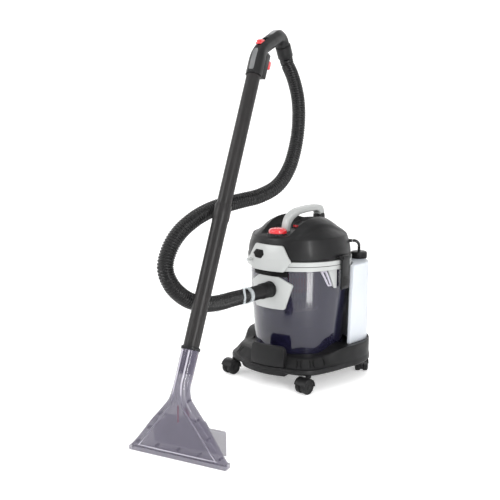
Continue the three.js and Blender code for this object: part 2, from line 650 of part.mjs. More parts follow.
const panelTip = new THREE.Vector3(...around(-20.5, 174, 384));
add('spray_outlet', fitting(4.5, panelTip, new THREE.Vector3(...SPRAY_ROUTE[0])), 'grey');
const clipRing = pipe(HOSE_RADIUS + 1, 25, 0, 12).rotateX(Math.PI / 2).translate(INLET_X, -260, INLET_Z);
const clipTop = new THREE.Vector3(INLET_X, -268, INLET_Z + 42);
const hoseTip = new THREE.Vector3(...SPRAY_ROUTE[SPRAY_ROUTE.length - 1]);
add('spray_clip', join(
  clipRing,
  rod(5, INLET_Z + 23, INLET_Z + 44, 12).translate(INLET_X, -266, 0),
  fitting(4, clipTop, hoseTip),
), 'black');

// ---- origin: on the floor, under the middle of everything but the free hoses --------------
object.updateMatrixWorld(true);
const extent = new THREE.Box3();
machine.traverse((node) => {
  if (node.isMesh && !cords.has(node.name)) {
    extent.expandByObject(node, true);
  }
});
const middle = extent.getCenter(new THREE.Vector3());
machine.position.set(-middle.x, -middle.y, 0);

export default object;
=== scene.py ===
"""Looks of a carpet cleaner machine: drum cleaner on casters, clean water tank, hose and wand.

Sub-assemblies are built in millimetres in their own places and carried to the row frame, in metres.
"""

import json
import logging
import math
from collections.abc import Callable, Sequence
from dataclasses import dataclass, field
from enum import Enum
from typing import Any

import bmesh
import bpy
from mathutils import Matrix, Vector

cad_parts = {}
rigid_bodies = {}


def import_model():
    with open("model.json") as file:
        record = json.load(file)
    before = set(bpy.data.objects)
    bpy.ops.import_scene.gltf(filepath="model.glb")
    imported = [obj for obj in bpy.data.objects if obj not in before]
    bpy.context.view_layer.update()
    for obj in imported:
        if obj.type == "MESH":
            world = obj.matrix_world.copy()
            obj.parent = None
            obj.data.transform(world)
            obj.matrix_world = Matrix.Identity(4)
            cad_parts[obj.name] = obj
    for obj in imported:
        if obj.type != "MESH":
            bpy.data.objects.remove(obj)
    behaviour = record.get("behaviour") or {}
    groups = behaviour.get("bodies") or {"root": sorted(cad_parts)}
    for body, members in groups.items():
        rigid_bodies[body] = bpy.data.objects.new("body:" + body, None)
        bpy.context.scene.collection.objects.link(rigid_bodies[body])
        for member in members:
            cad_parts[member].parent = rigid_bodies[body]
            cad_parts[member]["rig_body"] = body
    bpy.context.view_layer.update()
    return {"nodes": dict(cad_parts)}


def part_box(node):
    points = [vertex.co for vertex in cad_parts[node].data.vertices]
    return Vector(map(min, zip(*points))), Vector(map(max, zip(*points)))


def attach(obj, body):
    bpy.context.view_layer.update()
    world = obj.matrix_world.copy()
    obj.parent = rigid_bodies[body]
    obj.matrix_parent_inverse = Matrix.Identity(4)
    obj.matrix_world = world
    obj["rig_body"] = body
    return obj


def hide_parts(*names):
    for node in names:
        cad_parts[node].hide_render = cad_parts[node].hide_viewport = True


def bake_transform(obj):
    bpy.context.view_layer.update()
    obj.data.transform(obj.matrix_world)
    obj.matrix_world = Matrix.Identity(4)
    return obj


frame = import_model()

LOG = logging.getLogger("carpet_cleaner")
MM = 0.001
SAME_POINT_M = 2e-6
CAD_SAME_POINT_M = 2e-5
FLAT_ANGLE = math.radians(1.0)
THROUGH_WALL = (110, 250)
WAVE_RADIANS = 20
Outline = Sequence[tuple[float, float]]
Ring = list[Vector]


# ---- places --------------------------------------------------------------------------------
@dataclass(frozen=True)
class Places:
    """Matrices from each sub-assembly's own millimetres to the row frame's metres."""

    nozzle_turn: float = 12.87
    wand_lean: float = 27.0
    wand_foot: float = -56.8
    lip_middle: float = 11.0

    @property
    def machine(self) -> Matrix:
        """The machine's own frame: its axis is the drum's, its floor is z = 0, its front is -Y."""
        low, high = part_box("waste_drum")
        return Matrix.Translation(((low.x + high.x) / 2, (low.y + high.y) / 2, 0)) @ Matrix.Scale(MM, 4)

    @property
    def wand(self) -> Matrix:
        """The nozzle's frame: X along the lip, Y towards the machine."""
        low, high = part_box("nozzle_lip")
        turn = Matrix.Rotation(math.radians(self.nozzle_turn), 4, "Z")
        back = Matrix.Translation((0, -self.lip_middle, 0))
        middle = Matrix.Translation(((low.x + high.x) / 2, (low.y + high.y) / 2, 0))
        return middle @ Matrix.Scale(MM, 4) @ turn @ back

    @property
    def stick(self) -> Matrix:
        """The wand tube's frame: its Z is the station along the tube."""
        lean = Matrix.Rotation(-math.radians(self.wand_lean), 4, "X")
        return self.wand @ Matrix.Translation((0, self.wand_foot, 0)) @ lean


PLACES = Places()


# ---- colour and node helpers -----------------------------------------------------------------
def linear(code: str) -> tuple[float, float, float, float]:
    """Turns an sRGB hex colour to linear RGBA.

    Args:
        code: the colour as "#rrggbb".

    Returns:
        Linear red, green and blue, with an alpha of one.
    """
    parts = [int(code[i:i + 2], 16) / 255 for i in (1, 3, 5)]
    red, green, blue = (c / 12.92 if c <= 0.04045 else ((c + 0.055) / 1.055) ** 2.4 for c in parts)
    return red, green, blue, 1.0


def add_node(tree: bpy.types.NodeTree, kind: str, inputs: dict[Any, Any] | None = None,
             **settings: Any) -> bpy.types.Node:
    """Adds a node with its settings and what feeds it.

    Args:
        tree: the node tree that takes the node.
        kind: the node's type name.
        inputs: an output socket or a plain value for each input, by name or number.
        **settings: properties of the node itself.

    Returns:
        The new node.
    """
    node = tree.nodes.new(kind)
    for name, value in settings.items():
        setattr(node, name, value)
    for key, value in (inputs or {}).items():
        if isinstance(value, bpy.types.NodeSocket):
            tree.links.new(value, node.inputs[key])
        else:
            node.inputs[key].default_value = value
    return node


# ---- finishes --------------------------------------------------------------------------------
class Pattern(Enum):
    """What a surface's fine relief is made of."""

    SPARK_GRAIN = "spark-eroded mould grain"
    WINDING = "turns of wire"
    BRUSHED = "brushed lines"
    WEAVE = "woven mesh"
    SMOOTH = "polished mould"


@dataclass(frozen=True)
class Finish:
    """A real material and the process that made its surface.

    The tint drifts between two colours over a hand's width, as moulded resin does, and smudges
    change the gloss over a finger's width.
    """

    name: str
    colour: str
    drift: str
    slot: str
    roughness: float = 0.4
    pattern: Pattern = Pattern.SPARK_GRAIN
    pitch_mm: float = 1.1
    depth_mm: float = 0.03
    metallic: float = 0.0
    ior: float = 1.5
    coat: float = 0.0
    alpha: float = 1.0
    edge_alpha: float = 1.0
    specular: float = 0.5
    subsurface: float = 0.0
    drift_mm: float = 110.0
    smudge_mm: float = 24.0
    smudge_low: float = 0.85
    smudge_high: float = 1.2
    coat_roughness: float = 0.08
    relief_strength: float = 0.7
    bleed_m: tuple[float, float, float] = (0.012, 0.013, 0.015)

    def relief(self, tree: bpy.types.NodeTree, place: bpy.types.NodeSocket) -> bpy.types.NodeSocket:
        """Builds the height pattern.

        Args:
            tree: the material's node tree.
            place: object coordinates in metres.

        Returns:
            The socket that holds the height.
        """
        scale = 1 / (self.pitch_mm * MM)
        # A wave turns 20 radians for each unit of scale, so its bands lie 2 pi pitches apart.
        if self.pattern is Pattern.WINDING:
            bands = add_node(tree, "ShaderNodeTexWave", {"Vector": place, "Scale": scale / WAVE_RADIANS},
                             bands_direction="Z", wave_profile="SIN")
            return bands.outputs["Fac"]
        if self.pattern is Pattern.BRUSHED:
            stretched = add_node(tree, "ShaderNodeMapping", {"Vector": place, "Scale": (1, 1, 0.04)})
            lines = add_node(tree, "ShaderNodeTexNoise", {"Vector": stretched.outputs[0], "Scale": scale})
            return lines.outputs["Fac"]
        if self.pattern is Pattern.WEAVE:
            across = add_node(tree, "ShaderNodeTexWave", {"Vector": place, "Scale": scale / WAVE_RADIANS},
                              bands_direction="X")
            up = add_node(tree, "ShaderNodeTexWave", {"Vector": place, "Scale": scale / WAVE_RADIANS},
                          bands_direction="Z")
            both = add_node(tree, "ShaderNodeMath", {0: across.outputs["Fac"], 1: up.outputs["Fac"]},
                            operation="MAXIMUM")
            return both.outputs[0]
        detail = 3.0 if self.pattern is Pattern.SPARK_GRAIN else 0.0
        grain = add_node(tree, "ShaderNodeTexNoise", {"Vector": place, "Scale": scale, "Detail": detail})
        return grain.outputs["Fac"]

    def make(self) -> bpy.types.Material:
        """Returns the material, built once and shared by every piece that has this finish."""
        found = bpy.data.materials.get(self.name)
        if found is not None:
            return found
        material = bpy.data.materials.new(self.name)
        material.use_nodes = True
        tree = material.node_tree
        tree.nodes.clear()
        place = add_node(tree, "ShaderNodeTexCoord").outputs["Object"]
        cloud = add_node(tree, "ShaderNodeTexNoise",
                         {"Vector": place, "Scale": 1 / (self.drift_mm * MM), "Detail": 2.0})
        tint = add_node(tree, "ShaderNodeMix", {"Factor": cloud.outputs["Fac"]}, data_type="RGBA")
        tint.inputs[6].default_value = linear(self.colour)
        tint.inputs[7].default_value = linear(self.drift)
        smudge = add_node(tree, "ShaderNodeTexNoise",
                          {"Vector": place, "Scale": 1 / (self.smudge_mm * MM), "Detail": 4.0})
        gloss = add_node(tree, "ShaderNodeMapRange", {
            "Value": smudge.outputs["Fac"], "From Min": 0.3, "From Max": 0.7,
            "To Min": self.roughness * self.smudge_low,
            "To Max": min(self.roughness * self.smudge_high, 1.0)})
        bump = add_node(tree, "ShaderNodeBump", {
            "Height": self.relief(tree, place), "Strength": self.relief_strength,
            "Distance": self.depth_mm * MM})
        skin = add_node(tree, "ShaderNodeBsdfPrincipled", {
            "Base Color": tint.outputs[2], "Roughness": gloss.outputs[0], "Normal": bump.outputs[0],
            "Metallic": self.metallic, "IOR": self.ior, "Coat Weight": self.coat,
            "Coat Roughness": self.coat_roughness, "Specular IOR Level": self.specular,
            "Subsurface Weight": self.subsurface})
        if self.subsurface > 0:
            skin.inputs["Subsurface Radius"].default_value = self.bleed_m
        if self.alpha < 1:
            facing = add_node(tree, "ShaderNodeLayerWeight", {"Blend": 0.35})
            steep = add_node(tree, "ShaderNodeMath", {0: facing.outputs["Facing"], 1: 2.0}, operation="POWER")
            film = add_node(tree, "ShaderNodeMapRange", {
                "Value": steep.outputs[0], "To Min": self.alpha, "To Max": self.edge_alpha})
            tree.links.new(film.outputs[0], skin.inputs["Alpha"])
        add_node(tree, "ShaderNodeOutputMaterial", {"Surface": skin.outputs[0]})
        return material


# Glass-filled polypropylene off a spark-eroded mould: even fine grain, a soft broad highlight.
SATIN_BLACK = Finish("satin_black_polypropylene", "#101011", "#161617", "black_plastic", 0.38, specular=0.22,
                     coat=0.04)
# The dolly is moulded in the same resin with a coarser grain, so it looks a little duller.
DOLLY_BLACK = Finish("grained_black_polypropylene", "#0f0f10", "#151516", "black_plastic", 0.42,
                     pitch_mm=1.6, depth_mm=0.06, specular=0.22)
# Extruded ABS tube: smooth along its length, slightly brownish black with a long highlight.
TUBE_BLACK = Finish("extruded_black_abs", "#1b1a1a", "#232121", "black_plastic", 0.34, Pattern.SMOOTH,
                    pitch_mm=6.0, depth_mm=0.02, specular=0.24)
# Near-black painted shade: dark pieces set where there is only shade, deep in the rim's grooves, in the
# collar's parting line and in the gap between the panels. The spray port's plug is a real black part dressed
# in it too.
PORT_BLACK_AND_PAINTED_SHADE = Finish("black_recess", "#050505", "#090909", "black_plastic", 0.6, specular=0.15)
# Thermoplastic rubber tyres: dull, fine grain.
TYRE = Finish("black_rubber", "#0f0f10", "#161617", "black_plastic", 0.62, pitch_mm=0.9, depth_mm=0.05,
              specular=0.25)
# Metallic-look grey ABS: cool light grey with a satin sheen.
LIGHT_GREY = Finish("satin_light_grey_abs", "#a2a4a3", "#adafae", "grey_plastic", 0.34, coat=0.15,
                    pitch_mm=0.9, depth_mm=0.015)
# Mid-grey satin strips let into the top of the wand's grip: their grey also paints the sheen that the grip's
# top facets catch.
MID_GREY_TOP_SHEEN = Finish("satin_mid_grey_abs", "#5f6061", "#6c6d6e", "grey_plastic", 0.3, coat=0.2,
                  pitch_mm=0.9, depth_mm=0.015)
# Polished red ABS: saturated, wet-looking highlight.
GLOSS_RED = Finish("polished_red_abs", "#c01f27", "#d32c33", "red_plastic", 0.22, Pattern.SMOOTH,
                   pitch_mm=5.0, depth_mm=0.01, coat=0.6)
# Smoked styrene-acrylonitrile: clear, violet-black, denser where the wall is seen edge on.
SMOKED = Finish("smoked_clear_san", "#16152a", "#201e37", "smoked_plastic", 0.1, Pattern.SMOOTH,
                pitch_mm=40.0, depth_mm=0.05, ior=1.57, coat=0.8, alpha=0.58, edge_alpha=0.9)
# Tinted polycarbonate of the nozzle: violet-grey, with what lies behind it showing dimly.
NOZZLE_CLEAR = Finish("tinted_clear_polycarbonate", "#524d61", "#5e586b", "nozzle_plastic", 0.14,
                      Pattern.SMOOTH, pitch_mm=30.0, depth_mm=0.05, ior=1.58, coat=0.3, alpha=0.46,
                      edge_alpha=0.85)
# The same resin, paler and denser. On the nozzle's ridges the pale colour is a painted highlight; the drum's
# clear guides are dressed in it too.
PALE_CLEAR_RIDGE_HIGHLIGHT = Finish("thick_clear_polycarbonate", "#bdb9c6", "#cbc8d2", "nozzle_plastic", 0.16,
                    Pattern.SMOOTH, pitch_mm=30.0, depth_mm=0.05, ior=1.58, coat=0.5, alpha=0.66,
                    edge_alpha=0.9)
# Blow-moulded natural polyethylene: waxy white, light bleeds through the wall.
NATURAL_HDPE = Finish("natural_hdpe", "#bcc1c8", "#c9cdd2", "white_plastic", 0.38, pitch_mm=3.0,
                      depth_mm=0.05, ior=1.54, subsurface=0.25)
# Corrugated polyethylene hose: black, each ridge catches a thin highlight.
HOSE_BLACK = Finish("corrugated_black_polyethylene", "#09090a", "#0e0e0f", "hose_plastic", 0.26,
                    Pattern.SMOOTH, pitch_mm=8.0, depth_mm=0.02, specular=0.3)
# Clear plasticised PVC of the spray hose, the nozzle's line and the hose clip: nearly colourless.
CLEAR_VINYL = Finish("clear_pvc_tube", "#dfe6ea", "#eaf0f2", "clear_vinyl", 0.1, Pattern.SMOOTH,
                     pitch_mm=12.0, depth_mm=0.03, ior=1.53, alpha=0.34, edge_alpha=0.75)
# Turned steel of the motor's shaft and fan: fine lines, drawn coarser than real so they show.
STEEL = Finish("turned_steel", "#a4a7aa", "#b3b5b8", "steel", 0.28, Pattern.BRUSHED, pitch_mm=0.5,
               depth_mm=0.01, metallic=1.0)
# Enamelled copper wire, 0.8 mm thick, in close turns. They are drawn far coarser, as bands 10 mm apart.
COPPER = Finish("enamelled_copper_wire", "#a85f33", "#b97245", "copper_winding", 0.35, Pattern.WINDING,
                pitch_mm=1.6, depth_mm=0.25, metallic=1.0)
# Woven polyester filter screen on its frame: pinkish grey, with its threads drawn 7.5 mm apart.
FILTER = Finish("woven_polyester_screen", "#8d7f86", "#9b8d93", "filter_mesh", 0.75, Pattern.WEAVE,
                pitch_mm=1.2, depth_mm=0.3)


# ---- shells ------------------------------------------------------------------------------------
@dataclass
class Shell:
    """A skin of points, in millimetres, and the faces between them."""

    points: list[Vector] = field(default_factory=list)
    faces: list[tuple[int, ...]] = field(default_factory=list)

    def placed(self, matrix: Matrix) -> "Shell":
        """A copy of this shell, moved by a matrix."""
        return Shell([matrix @ point for point in self.points], list(self.faces))

    def joined(self, *others: "Shell") -> "Shell":
        """A copy that holds this shell and the others, side by side."""
        result = Shell(list(self.points), list(self.faces))
        for other in others:
            start = len(result.points)
            result.points.extend(other.points)
            result.faces.extend(tuple(start + i for i in face) for face in other.faces)
        return result


def loft(rings: Sequence[Ring], closed: bool = False) -> Shell:
    """Skins closed rings of points in order.

    Args:
        rings: rings with the same number of points.
        closed: True joins the last ring to the first, False caps both ends.

    Returns:
        A closed shell.
    """
    count = len(rings[0])
    points = [point for ring in rings for point in ring]
    faces: list[tuple[int, ...]] = []
    pairs = [(k, k + 1) for k in range(len(rings) - 1)] + ([(len(rings) - 1, 0)] if closed else [])
    for low, high in pairs:
        for i in range(count):
            j = (i + 1) % count
            faces.append((low * count + i, low * count + j, high * count + j, high * count + i))
    if not closed:
        faces.append(tuple(reversed(range(count))))
        faces.append(tuple(range(len(points) - count, len(points))))
    return Shell(points, faces)


def turned(outline: Outline, sides: int = 96) -> Shell:
    """Turns an outline round the Z axis.

    Args:
        outline: (radius, height) pairs that start and end on the axis, or close on themselves.
        sides: steps round the axis.

    Returns:
        A closed shell.
    """
    points: list[Vector] = []
    starts: list[tuple[int, bool]] = []
    for radius, height in outline:
        on_axis = radius < 1e-6
        starts.append((len(points), on_axis))
        steps = 1 if on_axis else sides
        for i in range(steps):
            angle = 2 * math.pi * i / sides
            points.append(Vector((radius * math.cos(angle), radius * math.sin(angle), height)))
    faces: list[tuple[int, ...]] = []
    pairs = list(zip(starts, starts[1:]))
    if not starts[0][1]:
        pairs.append((starts[-1], starts[0]))
    for (low, low_pole), (high, high_pole) in pairs:
        for i in range(sides):
            j = (i + 1) % sides
            corners = [low if low_pole else low + i, low if low_pole else low + j,
                       high if high_pole else high + j, high if high_pole else high + i]
            face = tuple(dict.fromkeys(corners))
            if len(face) > 2:
                faces.append(face)
    return Shell(points, faces)


def pipe(inner: float, outer: float, low: float, high: float, sides: int = 96) -> Shell:
    """A ring between two radii and two heights."""
    return turned([(inner, low), (outer, low), (outer, high), (inner, high)], sides)


def rod(radius: float, low: float, high: float, sides: int = 48) -> Shell:
    """A round bar between two heights."""
    return turned([(0, low), (radius, low), (radius, high), (0, high)], sides)


def block(low: tuple[float, float, float], high: tuple[float, float, float]) -> Shell:
    """A box between two corners."""
    (x0, y0, z0), (x1, y1, z1) = low, high
    return loft([[Vector((x, y, z)) for x, y in ((x0, y0), (x1, y0), (x1, y1), (x0, y1))] for z in (z0, z1)])


def plate(outline: Outline, low: float, high: float) -> Shell:
    """An outline in X and Y pushed up between two heights."""
    return loft([[Vector((x, y, z)) for x, y in outline] for z in (low, high)])


def smoothstep(value: float, low: float = 0.0, high: float = 1.0) -> float:
    """Smooth ramp from 0 at low to 1 at high."""
    share = min(1.0, max(0.0, (value - low) / (high - low)))
    return share * share * (3 - 2 * share)


def curve_through(points: Sequence[Vector], steps: int) -> list[Vector]:
    """Centripetal Catmull-Rom curve.

    Args:
        points: the points that the curve passes through.
        steps: pieces between two neighbouring points.

    Returns:
        Points along the curve, both ends included.
    """
    ends = [2 * points[0] - points[1], *points, 2 * points[-1] - points[-2]]
    line: list[Vector] = []
    for a, b, c, d in zip(ends, ends[1:], ends[2:], ends[3:]):
        t0, t1 = 0.0, math.sqrt((b - a).length)
        t2 = t1 + math.sqrt((c - b).length)
        t3 = t2 + math.sqrt((d - c).length)
        for k in range(steps):
            t = t1 + (t2 - t1) * k / steps
            ab = a * ((t1 - t) / (t1 - t0)) + b * ((t - t0) / (t1 - t0))
            bc = b * ((t2 - t) / (t2 - t1)) + c * ((t - t1) / (t2 - t1))
            cd = c * ((t3 - t) / (t3 - t2)) + d * ((t - t2) / (t3 - t2))
            left = ab * ((t2 - t) / (t2 - t0)) + bc * ((t - t0) / (t2 - t0))
            right = bc * ((t3 - t) / (t3 - t1)) + cd * ((t - t1) / (t3 - t1))
            line.append(left * ((t2 - t) / (t2 - t1)) + right * ((t - t1) / (t2 - t1)))
    return [*line, points[-1].copy()]


Section = Callable[[float, float], float]


def wire(radius: float) -> Section:
    """A round section of one radius all along."""
    return lambda share, angle: radius


def swept(path: Sequence[Vector], section: Section, sides: int, top: Vector = Vector((0, 0, 1))) -> Shell:
    """Carries a section along a path.

    Args:
        path: points of the centreline.
        section: radius as a function of the share of the path and the angle round it.
        sides: points round the section. Angle 0 points to top.
        top: the direction that the section's angle 0 starts from.

    Returns:
        A closed shell with flat ends.
    """
    rings: list[Ring] = []
    up = top
    for k, point in enumerate(path):
        ahead = (path[min(k + 1, len(path) - 1)] - path[max(k - 1, 0)]).normalized()
        up = (up - ahead * up.dot(ahead)).normalized()
        side = ahead.cross(up)
        share = k / (len(path) - 1)
        ring = []
        for i in range(sides):
            angle = 2 * math.pi * i / sides
            radius = section(share, angle)
            ring.append(point + up * (radius * math.cos(angle)) + side * (radius * math.sin(angle)))
        rings.append(ring)
    return loft(rings)


def around(angle: float, radius: float, height: float = 0.0) -> Vector:
    """Point round the machine's axis. Angle 0 is the front and 90 is the +X side, in degrees."""
    turn = math.radians(angle)
    return Vector((radius * math.sin(turn), -radius * math.cos(turn), height))


# ---- objects -------------------------------------------------------------------------------------
class Joinery(Enum):
    """How two solids are put together."""

    CUT = "DIFFERENCE"
    ADD = "UNION"
    SHARE = "INTERSECT"


def linked(name: str, data: bpy.types.ID) -> bpy.types.Object:
    """Makes an object of some data and puts it in the scene."""
    made = bpy.data.objects.new(name, data)
    bpy.context.scene.collection.objects.link(made)
    return made


def solid(name: str, shell: Shell, place: Matrix = PLACES.machine) -> bpy.types.Object:
    """Makes an object of a closed shell, with its place in its mesh and its faces outwards.

    Args:
        name: the object's name.
        shell: points in millimetres.
        place: matrix to the row frame.

    Returns:
        The new object at the origin.
    """
    mesh = bpy.data.meshes.new(name)
    mesh.from_pydata([place @ point for point in shell.points], [], shell.faces)
    mesh.validate()
    turn_outwards(mesh)
    return linked(name, mesh)


def turn_outwards(mesh: bpy.types.Mesh) -> None:
    """Merges a mesh's doubles and turns its faces outwards."""
    body = bmesh.new()
    body.from_mesh(mesh)
    bmesh.ops.remove_doubles(body, verts=body.verts, dist=SAME_POINT_M)
    bmesh.ops.recalc_face_normals(body, faces=body.faces)
    body.to_mesh(mesh)
    body.free()


def settle(made: bpy.types.Object) -> bpy.types.Object:
    """Turns an object's modifiers into plain mesh and returns the object."""
    bpy.context.view_layer.update()
    graph = bpy.context.evaluated_depsgraph_get()
    mesh = bpy.data.meshes.new_from_object(made.evaluated_get(graph), depsgraph=graph)
    made.modifiers.clear()
    old, made.data = made.data, mesh
    mesh.name = made.name
    bpy.data.meshes.remove(old)
    return made


def join(base: bpy.types.Object, how: Joinery, other: bpy.types.Object) -> bpy.types.Object:
    """Cuts, joins or shares one object's solid with another's, which is used up."""
    modifier = base.modifiers.new("joinery", "BOOLEAN")
    modifier.operation, modifier.solver, modifier.object = how.value, "EXACT", other
    settle(base)
    bpy.data.objects.remove(other)
    return base


def combine(base: bpy.types.Object, how: Joinery, *tools: Shell,
            place: Matrix = PLACES.machine) -> bpy.types.Object:
    """Cuts, joins or shares a solid with others.

    Args:
        base: the object that is changed.
        how: the way they are put together.
        *tools: closed shells in millimetres.
        place: matrix to the row frame for the tools.

    Returns:
        The changed object.
    """
    for tool in tools:
        join(base, how, solid("tool", tool, place))
    return base


def soften(made: bpy.types.Object, bevel: float, segments: int = 2, angle: float = 32.0) -> bpy.types.Object:
    """Rounds an object's sharp edges and smooths the rest.

    Args:
        made: the object.
        bevel: width of the rounding in millimetres, or 0 for none.
        segments: steps across each rounding.
        angle: edges sharper than this, in degrees, count as sharp.

    Returns:
        The same object.
    """
    if bevel > 0:
        modifier = made.modifiers.new("edges", "BEVEL")
        modifier.width = bevel * MM
        modifier.segments = segments
        modifier.limit_method = "ANGLE"
        modifier.angle_limit = math.radians(angle)
        settle(made)
    made.data.shade_smooth()
    made.data.set_sharp_from_angle(angle=math.radians(angle))
    return made


def mount(made: bpy.types.Object, finish: Finish, body: str, *nodes: str) -> bpy.types.Object:
    """Dresses a piece and hangs it on its body.

    Args:
        made: the finished piece.
        finish: what it is made of.
        body: the body it moves with.
        *nodes: the frame's nodes that it stands for.

    Returns:
        The same piece.
    """
    made.data.materials.clear()
    made.data.materials.append(finish.make())
    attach(made, body)
    if nodes:
        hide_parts(*nodes)
    LOG.info("%s: %d faces of %s on %s", made.name, len(made.data.polygons), finish.name, body)
    return made


def dress(name: str, shell: Shell, finish: Finish, body: str, *nodes: str, bevel: float = 0.0,
          place: Matrix = PLACES.machine) -> bpy.types.Object:
    """Makes a piece of a shell, rounds its edges and mounts it.

    Args:
        name: the piece's name.
        shell: points in millimetres.
        finish: what it is made of.
        body: the body it moves with.
        *nodes: the frame's nodes that it stands for.
        bevel: width of the rounded edges in millimetres, or 0 for none.
        place: matrix to the row frame.

    Returns:
        The finished piece.
    """
    return mount(soften(solid(name, shell, place), bevel), finish, body, *nodes)


def body_of_node(node: str) -> str:
    """The body that a node of the frame belongs to."""
    return frame["nodes"][node]["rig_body"]


def refine(node: str, finish: Finish, bevel: float = 0.7) -> bpy.types.Object:
    """Stands a softened copy in for a node whose shape is right.

    Args:
        node: the frame's node.
        finish: what it is made of.
        bevel: width of the rounded edges in millimetres.

    Returns:
        The new piece.
    """
    copy = frame["nodes"][node].data.copy()
    body = bmesh.new()
    body.from_mesh(copy)
    bmesh.ops.remove_doubles(body, verts=body.verts, dist=CAD_SAME_POINT_M)
    bmesh.ops.dissolve_limit(body, angle_limit=FLAT_ANGLE, verts=body.verts, edges=body.edges)
    body.to_mesh(copy)
    body.free()
    made = linked(node + "_moulding", copy)
    return mount(soften(made, bevel), finish, body_of_node(node), node)


def sight_prism(outline: Outline, angle: float) -> Shell:
    """Pushes an outline, seen from outside the machine, through its wall.

    Args:
        outline: (across, height) pairs of the view.
        angle: where round the machine the outline faces, in degrees.

    Returns:
        The closed prism.
    """
    prism = loft([[Vector((x, across, height)) for across, height in outline] for x in THROUGH_WALL])
    return prism.placed(Matrix.Rotation(math.radians(angle - 90), 4, "Z"))


def ring_piece(name: str, profile: Outline, outline: Outline, angle: float = 0.0,
               sides: int = 240) -> bpy.types.Object:
    """A piece of a turned ring that lies behind a flat outline.

    Args:
        name: the object's name.
        profile: (radius, height) pairs of the ring.
        outline: (across, height) pairs of the front view.
        angle: where round the machine the outline faces, in degrees.
        sides: steps round the ring.

    Returns:
        The object.
    """
    made = solid(name, turned(profile, sides))
    return combine(made, Joinery.SHARE, sight_prism(outline, angle))


# ---- geometry node trees ---------------------------------------------------------------------------
class Repeat:
    """A geometry node tree with named inputs, run once on a carrier to give a plain mesh."""

    def __init__(self, name: str, inputs: dict[str, str]) -> None:
        """Starts a tree.

        Args:
            name: the tree's name.
            inputs: the socket type of each named input.
        """
        self.tree = bpy.data.node_groups.new(name, "GeometryNodeTree")
        face = self.tree.interface
        face.new_socket(name="Geometry", in_out="INPUT", socket_type="NodeSocketGeometry")
        for label, kind in inputs.items():
            face.new_socket(name=label, in_out="INPUT", socket_type=kind)
        face.new_socket(name="Geometry", in_out="OUTPUT", socket_type="NodeSocketGeometry")
        self.given = add_node(self.tree, "NodeGroupInput").outputs

    def close(self, geometry: bpy.types.NodeSocket) -> "Repeat":
        """Ends the tree in Realize Instances and Set Material."""
        real = add_node(self.tree, "GeometryNodeRealizeInstances", {0: geometry})
        smooth = add_node(self.tree, "GeometryNodeSetShadeSmooth", {0: real.outputs[0]})
        dressed = add_node(self.tree, "GeometryNodeSetMaterial",
                           {"Geometry": smooth.outputs[0], "Material": self.given["Material"]})
        add_node(self.tree, "NodeGroupOutput", {0: dressed.outputs[0]})
        return self

    def run(self, name: str, carrier: Shell, place: Matrix, edges: bool = False,
            **values: Any) -> bpy.types.Object:
        """Runs the tree.

        Args:
            name: the new piece's name.
            carrier: the points that the tree works on, joined in a line if edges is True.
            place: matrix from the carrier's millimetres to the row frame.
            edges: True joins the points to one open line.
            **values: the inputs, with an underscore for each space in a name.

        Returns:
            A plain mesh object.
        """
        mesh = bpy.data.meshes.new(name)
        line = [(i, i + 1) for i in range(len(carrier.points) - 1)] if edges else []
        mesh.from_pydata([place @ point for point in carrier.points], line, [])
        made = linked(name, mesh)
        modifier = made.modifiers.new("repeat", "NODES")
        modifier.node_group = self.tree
        for item in self.tree.interface.items_tree:
            key = item.name.replace(" ", "_")
            if item.item_type == "SOCKET" and item.in_out == "INPUT" and key in values:
                modifier[item.identifier] = values[key]
        return settle(made)


def hose_tree() -> Repeat:
    """Corrugated hose along a line: Start and End radius, Ridge height, Pitch and Sides."""
    made = Repeat("corrugated_hose", {
        "Start Radius": "NodeSocketFloat", "End Radius": "NodeSocketFloat", "Ridge": "NodeSocketFloat",
        "Pitch": "NodeSocketFloat", "Sides": "NodeSocketInt", "Material": "NodeSocketMaterial"})
    tree, given = made.tree, made.given
    line = add_node(tree, "GeometryNodeMeshToCurve", {0: given["Geometry"]})
    step = add_node(tree, "ShaderNodeMath", {0: given["Pitch"], 1: 6.0}, operation="DIVIDE")
    fine = add_node(tree, "GeometryNodeResampleCurve", {"Curve": line.outputs[0], "Length": step.outputs[0]},
                    mode="LENGTH")
    along = add_node(tree, "GeometryNodeSplineParameter")
    turns = add_node(tree, "ShaderNodeMath", {0: along.outputs["Length"], 1: given["Pitch"]},
                     operation="DIVIDE")
    phase = add_node(tree, "ShaderNodeMath", {0: turns.outputs[0], 1: math.pi}, operation="MULTIPLY")
    wave = add_node(tree, "ShaderNodeMath", {0: phase.outputs[0]}, operation="SINE")
    high = add_node(tree, "ShaderNodeMath", {0: wave.outputs[0]}, operation="ABSOLUTE")
    body = add_node(tree, "ShaderNodeMapRange", {
        "Value": along.outputs["Factor"], "From Min": 0.35, "From Max": 0.85,
        "To Min": given["Start Radius"], "To Max": given["End Radius"]}, interpolation_type="SMOOTHSTEP")
    ridge = add_node(tree, "ShaderNodeMath", {0: high.outputs[0], 1: given["Ridge"], 2: body.outputs[0]},
                     operation="MULTIPLY_ADD")
    ring = add_node(tree, "GeometryNodeCurvePrimitiveCircle", {"Resolution": given["Sides"], "Radius": 1.0})
    skin = add_node(tree, "GeometryNodeCurveToMesh", {
        "Curve": fine.outputs[0], "Profile Curve": ring.outputs[0], "Scale": ridge.outputs[0],
        "Fill Caps": True})
    return made.close(skin.outputs[0])


def stud_tree() -> Repeat:
    """A stud on each point: Radius, Length, Sides and the Turn that lays its axis."""
    made = Repeat("studs", {
        "Radius": "NodeSocketFloat", "Length": "NodeSocketFloat", "Sides": "NodeSocketInt",
        "Turn": "NodeSocketVector", "Material": "NodeSocketMaterial"})
    tree, given = made.tree, made.given
    stud = add_node(tree, "GeometryNodeMeshCylinder", {
        "Vertices": given["Sides"], "Radius": given["Radius"], "Depth": given["Length"]})
    spread = add_node(tree, "GeometryNodeInstanceOnPoints", {
        "Points": given["Geometry"], "Instance": stud.outputs["Mesh"], "Rotation": given["Turn"]})
    return made.close(spread.outputs[0])


